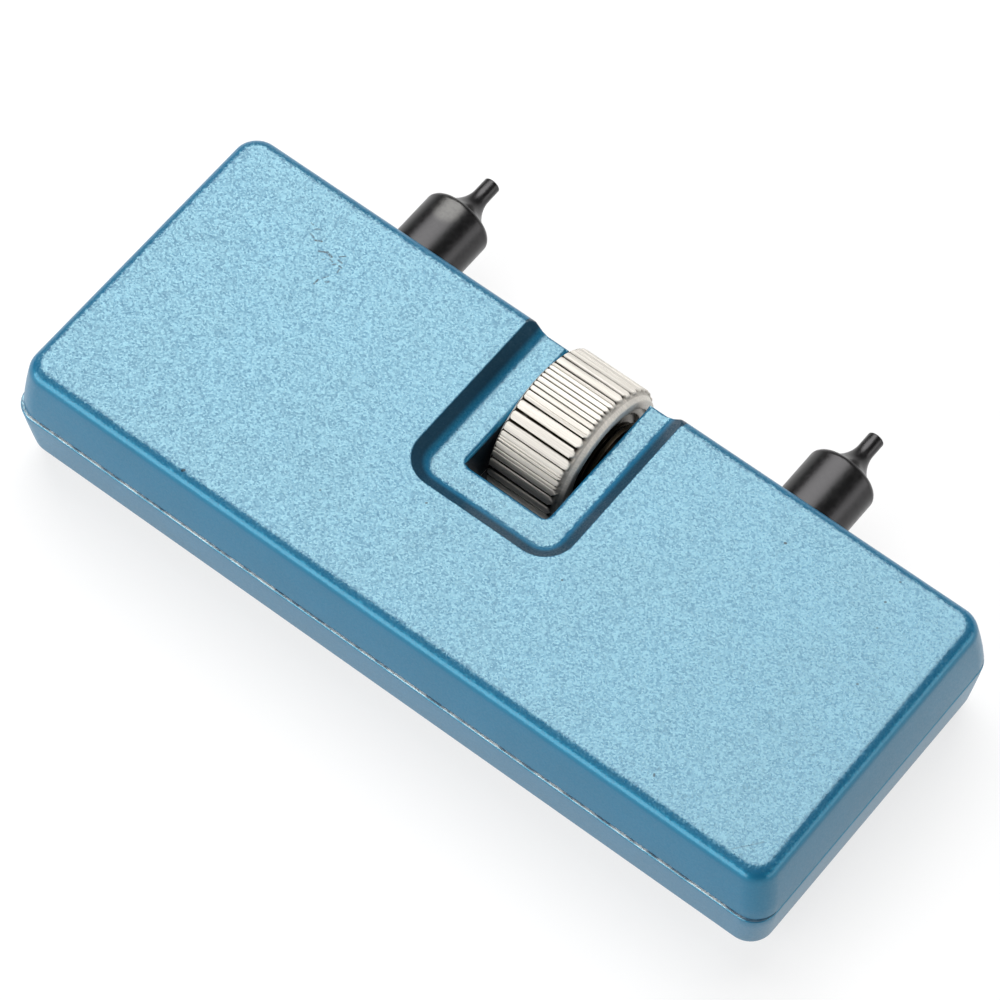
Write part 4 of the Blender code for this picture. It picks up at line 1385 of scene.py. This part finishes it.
@dataclass(frozen=True)
class Drive:
    """Screw with a left-hand and a right-hand thread, and the bushes and washers that carry it."""

    layout: Layout
    crest_radius: float = 1.98 * MM
    root_radius: float = 1.57 * MM
    lead: float = 0.7 * MM
    turns: int = 36
    sides: int = 32
    thread_start_x: float = 6.7 * MM
    seat_radius: float = 2.3 * MM
    journal_radius: float = 2.0 * MM
    journal_end_x: float = 7.25 * MM
    collar_x: float = 31.6 * MM
    collar_end_x: float = 31.95 * MM
    tail_radius: float = 1.3 * MM
    end_x: float = 35.3 * MM
    seat_left_x: float = -2.35 * MM
    seat_right_x: float = 2.7 * MM
    running_gap: float = 0.04 * MM
    cheek_flange: float = 0.4 * MM
    cheek_bush_radius: float = 3.1 * MM
    tail_flange: float = 0.6 * MM
    tail_bush_radius: float = 2.2 * MM

    def build(self, steel: bpy.types.Material, brass: bpy.types.Material) -> None:
        """Model the screw, its bushes and washers, and dress them.

        Args:
            steel: Finish of the screw and the washers.
            brass: Finish of the bushes.
        """
        threads = [self.thread(hand) for hand in Hand]
        screw = moved(joined(self.rod(), *threads), self.layout.drive)
        finished(screw, "double_thread_screw", steel, "lead_screw", Body.DRIVE)
        for hand in Hand:
            for kind, word, radius in (("inner_bush", "cheek_bush", self.journal_radius),
                                       ("end_bush", "tail_bush", self.tail_radius)):
                node = f"{hand.word}_{kind}"
                bush = self.flanged(node, hand, radius)
                finished(bush, f"{hand.word}_{word}", brass, node, Body.CASE)
            node = f"{hand.word}_thrust_washer"
            finished(self.washer(node), f"{hand.word}_washer", steel, node, Body.CASE)

    def rod(self) -> bmesh.types.BMesh:
        """Turned core of the screw, with the seat of the wheel and a collar at the end of each thread."""
        right = [(self.seat_right_x, self.seat_radius), (self.seat_right_x, self.journal_radius),
                 (self.journal_end_x, self.journal_radius),
                 (self.journal_end_x + 0.3 * MM, self.root_radius),
                 (self.collar_x, self.root_radius), (self.collar_x, self.crest_radius),
                 (self.collar_end_x, self.crest_radius), (self.collar_end_x, self.tail_radius),
                 (self.end_x, self.tail_radius), (self.end_x, 0.0)]
        left = [(-along, radius) for along, radius in reversed(right[1:])]
        left.append((self.seat_left_x, self.journal_radius))
        left.append((self.seat_left_x, self.seat_radius))
        left = [point for point in left if point != (-self.seat_right_x, self.journal_radius)]
        rounds = [Round(side * self.end_x, self.tail_radius, 0.3 * MM) for side in (-1, 1)]
        return turned(left + right, Axis.ALONG_X, 48, rounds=rounds)

    def thread(self, hand: Hand) -> bmesh.types.BMesh:
        """One thread: a ridge of one lead swept along a helix away from the wheel.

        Args:
            hand: Side of the wheel; the right one is a right-hand thread.

        Returns:
            The mesh around X.
        """
        bm = bmesh.new()
        start = hand.value * self.thread_start_x
        flat = hand.value * self.lead
        shape = [(0.0, self.root_radius), (0.08, self.root_radius), (0.44, self.crest_radius),
                 (0.56, self.crest_radius), (0.92, self.root_radius), (1.0, self.root_radius)]
        points = [bm.verts.new((radius, 0.0, start + share * flat)) for share, radius in shape]
        edges = [bm.edges.new(pair) for pair in zip(points, points[1:])]
        steps = self.turns * self.sides - self.sides
        bmesh.ops.spin(bm, geom=points + edges, cent=(0, 0, 0), axis=(0, 0, 1),
                       dvec=(0, 0, hand.value * self.lead / self.sides),
                       angle=math.tau * steps / self.sides, steps=steps, use_merge=False,
                       use_duplicate=False)
        bmesh.ops.remove_doubles(bm, verts=bm.verts, dist=2 * WELD)
        bmesh.ops.recalc_face_normals(bm, faces=bm.faces)
        bm.faces.ensure_lookup_table()
        middle = bm.faces[len(bm.faces) // 2]
        centre = middle.calc_center_median()
        if middle.normal.dot(Vector((centre.x, centre.y, 0.0))) < 0:
            bmesh.ops.reverse_faces(bm, faces=bm.faces)
        bmesh.ops.transform(bm, matrix=Axis.ALONG_X.value, verts=bm.verts)
        return bm

    def flanged(self, node: str, hand: Hand, shaft_radius: float) -> bmesh.types.BMesh:
        """Flanged bush in the place of its solid, with a close bore.

        Args:
            node: Solid of the bush.
            hand: Side of the wheel.
            shaft_radius: Radius of what turns in it.

        Returns:
            The mesh.
        """
        low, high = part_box(node)
        near, far = (low.x, high.x) if hand is Hand.RIGHT else (high.x, low.x)
        flange_radius = (high.z - low.z) / 2
        inner = "inner" in node
        flange = hand.value * (self.cheek_flange if inner else self.tail_flange)
        body_radius = self.cheek_bush_radius if inner else self.tail_bush_radius
        bore = shaft_radius + self.running_gap
        profile = [(near, bore), (near, flange_radius), (near + flange, flange_radius),
                   (near + flange, body_radius), (far, body_radius), (far, bore)]
        rounds = [Round(near, flange_radius, 0.1 * MM), Round(near, bore, 0.1 * MM),
                  Round(far, body_radius, 0.15 * MM), Round(far, bore, 0.1 * MM)]
        return moved(turned(profile, Axis.ALONG_X, 56, True, rounds),
                     Vector((0.0, self.layout.drive.y, self.layout.drive.z)))

    def washer(self, node: str) -> bmesh.types.BMesh:
        """Flat washer in the place of its solid.

        Args:
            node: Solid of the washer.

        Returns:
            The mesh.
        """
        low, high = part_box(node)
        radius = (high.z - low.z) / 2
        bore = self.journal_radius + 0.1 * MM
        profile = [(low.x, bore), (low.x, radius), (high.x, radius), (high.x, bore)]
        rounds = [Round(x, radius, 0.08 * MM) for x in (low.x, high.x)]
        return moved(turned(profile, Axis.ALONG_X, 56, True, rounds),
                     Vector((0.0, self.layout.drive.y, self.layout.drive.z)))


@dataclass(frozen=True)
class Slider:
    """Nut block on one thread and the turned pin that it carries."""

    layout: Layout
    hand: Hand
    bore_radius: float = 2.04 * MM
    block_round: float = 0.4 * MM
    pin_radius: float = 3.25 * MM
    pin_edge: float = 0.45 * MM
    shoulder_y: float = 16.48 * MM
    shoulder_cone: float = 0.95 * MM
    tip_radius: float = 0.77 * MM
    flare: float = 2.15 * MM
    stud_radius: float = 1.4 * MM
    stud_length: float = 2.3 * MM
    tip_edge: float = 0.10 * MM

    @property
    def body(self) -> Body:
        """Body that the block and the pin move with."""
        return Body.LEFT_SLIDER if self.hand is Hand.LEFT else Body.RIGHT_SLIDER

    def build(self, brass: bpy.types.Material, black: bpy.types.Material) -> None:
        """Model the block and the pin and dress them.

        Args:
            brass: Finish of the block.
            black: Finish of the pin.
        """
        word = self.hand.word
        finished(self.block(), f"{word}_nut_block", brass, f"{word}_carriage", self.body)
        finished(self.pin(), f"{word}_pin", black, f"{word}_pin_bit", self.body)

    def block(self) -> bmesh.types.BMesh:
        """Rounded block with a hole for the screw and one for the pin's stud."""
        low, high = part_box(f"{self.hand.word}_carriage")
        bm = block(tuple(low), tuple(high))
        round_edges(bm, list(bm.edges), self.block_round, 4)
        reach = (high.x - low.x) / 2 + 1.0 * MM
        bore_profile = [(-reach, 0.0), (-reach, self.bore_radius), (reach, self.bore_radius), (reach, 0.0)]
        bore = turned(bore_profile, Axis.ALONG_X, 48)
        drive = self.layout.drive
        middle = Vector((self.layout.pin_x[self.hand], drive.y, drive.z))
        depth = high.y - drive.y + 1.0 * MM
        radius = self.stud_radius + 0.04 * MM
        hole = turned([(0.0, 0.0), (0.0, radius), (depth, radius), (depth, 0.0)], Axis.ALONG_Y, 40)
        return carved(bm, [moved(bore, middle), moved(hole, middle)])

    def pin(self) -> bmesh.types.BMesh:
        """Turned pin: stud, thick body, and a thin tip that flares into the shoulder."""
        low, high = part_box(f"{self.hand.word}_pin_bit")
        drive = self.layout.drive
        stud_y = low.y
        back_y = stud_y + self.stud_length
        tip_y = high.y
        root_y = self.shoulder_y + self.shoulder_cone
        profile = [(stud_y, 0.0), (stud_y, self.stud_radius), (back_y, self.stud_radius),
                   (back_y, self.pin_radius), (self.shoulder_y, self.pin_radius),
                   (root_y, self.tip_radius), (tip_y, self.tip_radius), (tip_y, 0.0)]
        rounds = [Round(back_y, self.pin_radius, 0.25 * MM),
                  Round(self.shoulder_y, self.pin_radius, self.pin_edge, 5),
                  Round(root_y, self.tip_radius, self.flare, 14),
                  Round(tip_y, self.tip_radius, self.tip_edge), Round(stud_y, self.stud_radius, 0.2 * MM)]
        bm = turned(profile, Axis.ALONG_Y, 72, rounds=rounds)
        return moved(bm, Vector((self.layout.pin_x[self.hand], 0.0, drive.z)))


@dataclass(frozen=True)
class CaseScrews:
    """Countersunk screws with a cross recess that hold the halves together."""

    layout: Layout
    sizes: CaseSizes
    head_radius: float = 1.95 * MM
    shank_radius: float = 1.0 * MM
    cross_half_length: float = 1.05 * MM
    cross_half_width: float = 0.22 * MM
    cross_depth: float = 0.75 * MM

    def build(self, steel: bpy.types.Material) -> None:
        """Model the four screws and dress them.

        Args:
            steel: Finish of the screws.
        """
        for node, x, y in self.sizes.screw_places():
            low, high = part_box(node)
            screw = self.screw(low.z, high.z)
            moved(screw, Vector((x, y + self.layout.centre.y, 0.0)))
            finished(screw, node.replace("_case", ""), steel, node, Body.CASE)

    def screw(self, head_z: float, end_z: float) -> bmesh.types.BMesh:
        """One screw, head down.

        Args:
            head_z: Height of the flat of the head.
            end_z: Height of the end.

        Returns:
            The mesh around Z.
        """
        neck_z = head_z + self.head_radius - self.shank_radius
        profile = [(head_z, 0.0), (head_z, self.head_radius), (neck_z, self.shank_radius),
                   (end_z, self.shank_radius), (end_z, 0.0)]
        bm = turned(profile, Axis.ALONG_Z, 48, rounds=[Round(head_z, self.head_radius, 0.08 * MM),
                                                       Round(end_z, self.shank_radius, 0.3 * MM)])
        deep = head_z + self.cross_depth
        long, wide = self.cross_half_length, self.cross_half_width
        arms = [block((-long, -wide, head_z - 1.0 * MM), (long, wide, deep)),
                block((-wide, -long, head_z - 1.0 * MM), (wide, long, deep))]
        return carved(bm, arms)


@dataclass(frozen=True)
class Card:
    """A soft light: a square panel that shines on the opener from one direction."""

    name: str
    azimuth: float
    elevation: float
    distance: float
    width: float
    height: float
    brightness: float

    def build(self, aim: Vector) -> None:
        """Hang the panel.

        Args:
            aim: Point that it faces.
        """
        light = bpy.data.lights.new(self.name, "AREA")
        light.shape = "RECTANGLE"
        light.size = self.width
        light.size_y = self.height
        light.energy = math.pi * self.width * self.height * self.brightness
        lamp = bpy.data.objects.new(self.name, light)
        back = direction(self.azimuth, self.elevation)
        lamp.location = aim + back * self.distance
        lamp.rotation_euler = (-back).to_track_quat("-Z", "Y").to_euler()
        lamp.visible_camera = False
        bpy.context.scene.collection.objects.link(lamp)


def direction(azimuth: float, elevation: float) -> Vector:
    """Direction towards a place round the object.

    Args:
        azimuth: Degrees round from -Y towards +X.
        elevation: Degrees above the floor.

    Returns:
        The unit vector.
    """
    around, above = math.radians(azimuth), math.radians(elevation)
    return Vector((math.sin(around) * math.cos(above), -math.cos(around) * math.cos(above),
                   math.sin(above)))


@dataclass(frozen=True)
class Studio:
    """White light table, soft panels and the camera."""

    camera_azimuth: float = 37.991
    camera_elevation: float = 60.101
    camera_roll: float = 0.311
    camera_distance: float = 434.12 * MM
    camera_aim: tuple[float, float, float] = (-1.346 * MM, -2.897 * MM, 7.05 * MM)
    lens: float = 189.853
    sensor: float = 36.0
    floor_size: float = 12.0
    sky_white: float = 0.7
    sky_dark: float = 0.04
    sky_front: float = 0.15
    sky_lit_side: tuple[float, float, float] = (0.6, -0.8, 0.0)
    sky_ahead: tuple[float, float, float] = (-0.2, -0.98, 0.0)
    table_glow: float = 0.76
    cards: tuple[Card, ...] = (
        Card("top_panel", 218.0, 58.0, 0.60, 0.60, 0.56, 5.1),
        Card("front_panel", -24.0, 15.5, 0.70, 0.96, 0.34, 5.0),
        Card("right_panel", 105.0, 9.5, 0.70, 0.88, 0.28, 2.5),
    )

    def build(self) -> None:
        """Set up the floor, the sky, the panels and the camera."""
        scene = bpy.context.scene
        scene.view_settings.view_transform = "Standard"
        self.floor()
        self.sky()
        aim = Vector(self.camera_aim)
        for card in self.cards:
            card.build(aim)
        self.camera(aim)

    def floor(self) -> None:
        """Lay a white light table that keeps a soft shadow and can be looked through from below.

        Eyes and mirrors see it glow; to the light that it bounces it is plain white paint.
        """
        bm = bmesh.new()
        bmesh.ops.create_grid(bm, x_segments=1, y_segments=1, size=self.floor_size / 2)
        table = plain_object(bm, "light_table")
        graph = Graph("light_table")
        path = graph.node("ShaderNodeLightPath")
        seen = graph.math("MAXIMUM", path.outputs["Is Camera Ray"], path.outputs["Is Glossy Ray"])
        seen = graph.math("MAXIMUM", seen, path.outputs["Is Transmission Ray"])
        shine = graph.node("ShaderNodeEmission")
        graph.feed(shine.inputs["Strength"], graph.math("MULTIPLY", seen, self.table_glow))
        both = graph.node("ShaderNodeAddShader")
        clear = graph.node("ShaderNodeBsdfTransparent")
        mix = graph.node("ShaderNodeMixShader")
        graph.feed(both.inputs[0], graph.shader.outputs[0])
        graph.feed(both.inputs[1], shine.outputs[0])
        graph.feed(mix.inputs[0], graph.node("ShaderNodeNewGeometry").outputs["Backfacing"])
        graph.feed(mix.inputs[1], both.outputs[0])
        graph.feed(mix.inputs[2], clear.outputs[0])
        graph.feed(graph.tree.nodes["Material Output"].inputs["Surface"], mix.outputs[0])
        white = graph.blend(seen, (0.50, 0.50, 0.50), (0.24, 0.24, 0.24))
        table.data.materials.append(graph.finish(Base_Color=white, Roughness=0.9, Specular_IOR_Level=0.0))

    def sky(self) -> None:
        """Light the surroundings white along the horizon in front and to the right.

        Above the horizon only the front is lit, and dimly.
        """
        world = bpy.data.worlds.new("studio")
        world.use_nodes = True
        bpy.context.scene.world = world
        nodes = Nodes(world.node_tree)
        where = nodes.node("ShaderNodeTexCoord").outputs["Generated"]

        def facing(towards: tuple[float, float, float]) -> object:
            """How far a direction of the sky points the same way as another."""
            return nodes.vector("DOT_PRODUCT", where, towards).outputs["Value"]

        horizon = nodes.band(nodes.split(where)[2], 0.0, 0.2, 1.0, 0.0)
        side = nodes.band(facing(self.sky_lit_side), -0.45, 0.25)
        front = nodes.band(facing(self.sky_ahead), 0.1, 0.6, 0.0, self.sky_front)
        white = nodes.math("MULTIPLY", horizon, side)
        white = nodes.math("MULTIPLY", white, self.sky_white - self.sky_dark)
        glow = nodes.math("MAXIMUM", nodes.math("ADD", white, self.sky_dark), front)
        background = nodes.tree.nodes["Background"]
        nodes.feed(background.inputs["Strength"], glow)
        nodes.feed(background.inputs["Color"], (1.0, 1.0, 1.0, 1.0))

    def camera(self, aim: Vector) -> None:
        """Put the camera where the photograph was taken from.

        Args:
            aim: Point in the middle of the picture.
        """
        data = bpy.data.cameras.new("camera")
        data.lens = self.lens
        data.sensor_width = self.sensor
        data.clip_start = 0.01
        data.clip_end = 50.0
        camera = bpy.data.objects.new("camera", data)
        back = direction(self.camera_azimuth, self.camera_elevation)
        camera.location = aim + back * self.camera_distance
        turn = (-back).to_track_quat("-Z", "Y").to_matrix().to_4x4()
        roll = Matrix.Rotation(math.radians(self.camera_roll), 4, "Z")
        camera.rotation_euler = (turn @ roll).to_euler()
        bpy.context.scene.collection.objects.link(camera)
        bpy.context.scene.camera = camera


def main() -> None:
    """Build every sub-assembly, then the studio around it."""
    logging.basicConfig(level=logging.INFO, format="%(name)s %(message)s")
    layout = Layout.from_frame()
    sizes = CaseSizes()
    paint = FlakePaint().material(layout.centre, sizes)
    steel = STEEL.material()
    brass = BRASS.material()
    black = BlackOxide().material()
    CaseHalf(name="upper_case_half", node="upper_shell", side=1, step_in=0.1 * MM,
             seam_shift=Vector((0.08, 0.08, 0.0)) * MM, face_shift=Vector((0.1, 0.0, 0.0)) * MM,
             low_draft=math.radians(5.0), high_draft=math.radians(10.2), corner_radius=2.25 * MM,
             fillet=1.26 * MM, layout=layout, sizes=sizes).build(paint)
    CaseHalf(name="lower_case_half", node="lower_shell", side=-1, step_in=0.0, seam_shift=Vector(),
             face_shift=Vector(), low_draft=math.radians(5.6), high_draft=math.radians(7.8),
             corner_radius=2.2 * MM, fillet=1.05 * MM, layout=layout, sizes=sizes).build(paint)
    CaseScrews(layout, sizes).build(steel)
    ThumbWheel(layout).build(NickelPlate())
    Drive(layout).build(steel, brass)
    for hand in Hand:
        Slider(layout, hand).build(brass, black)
    Studio().build()


if __name__ == "__main__":
    main()
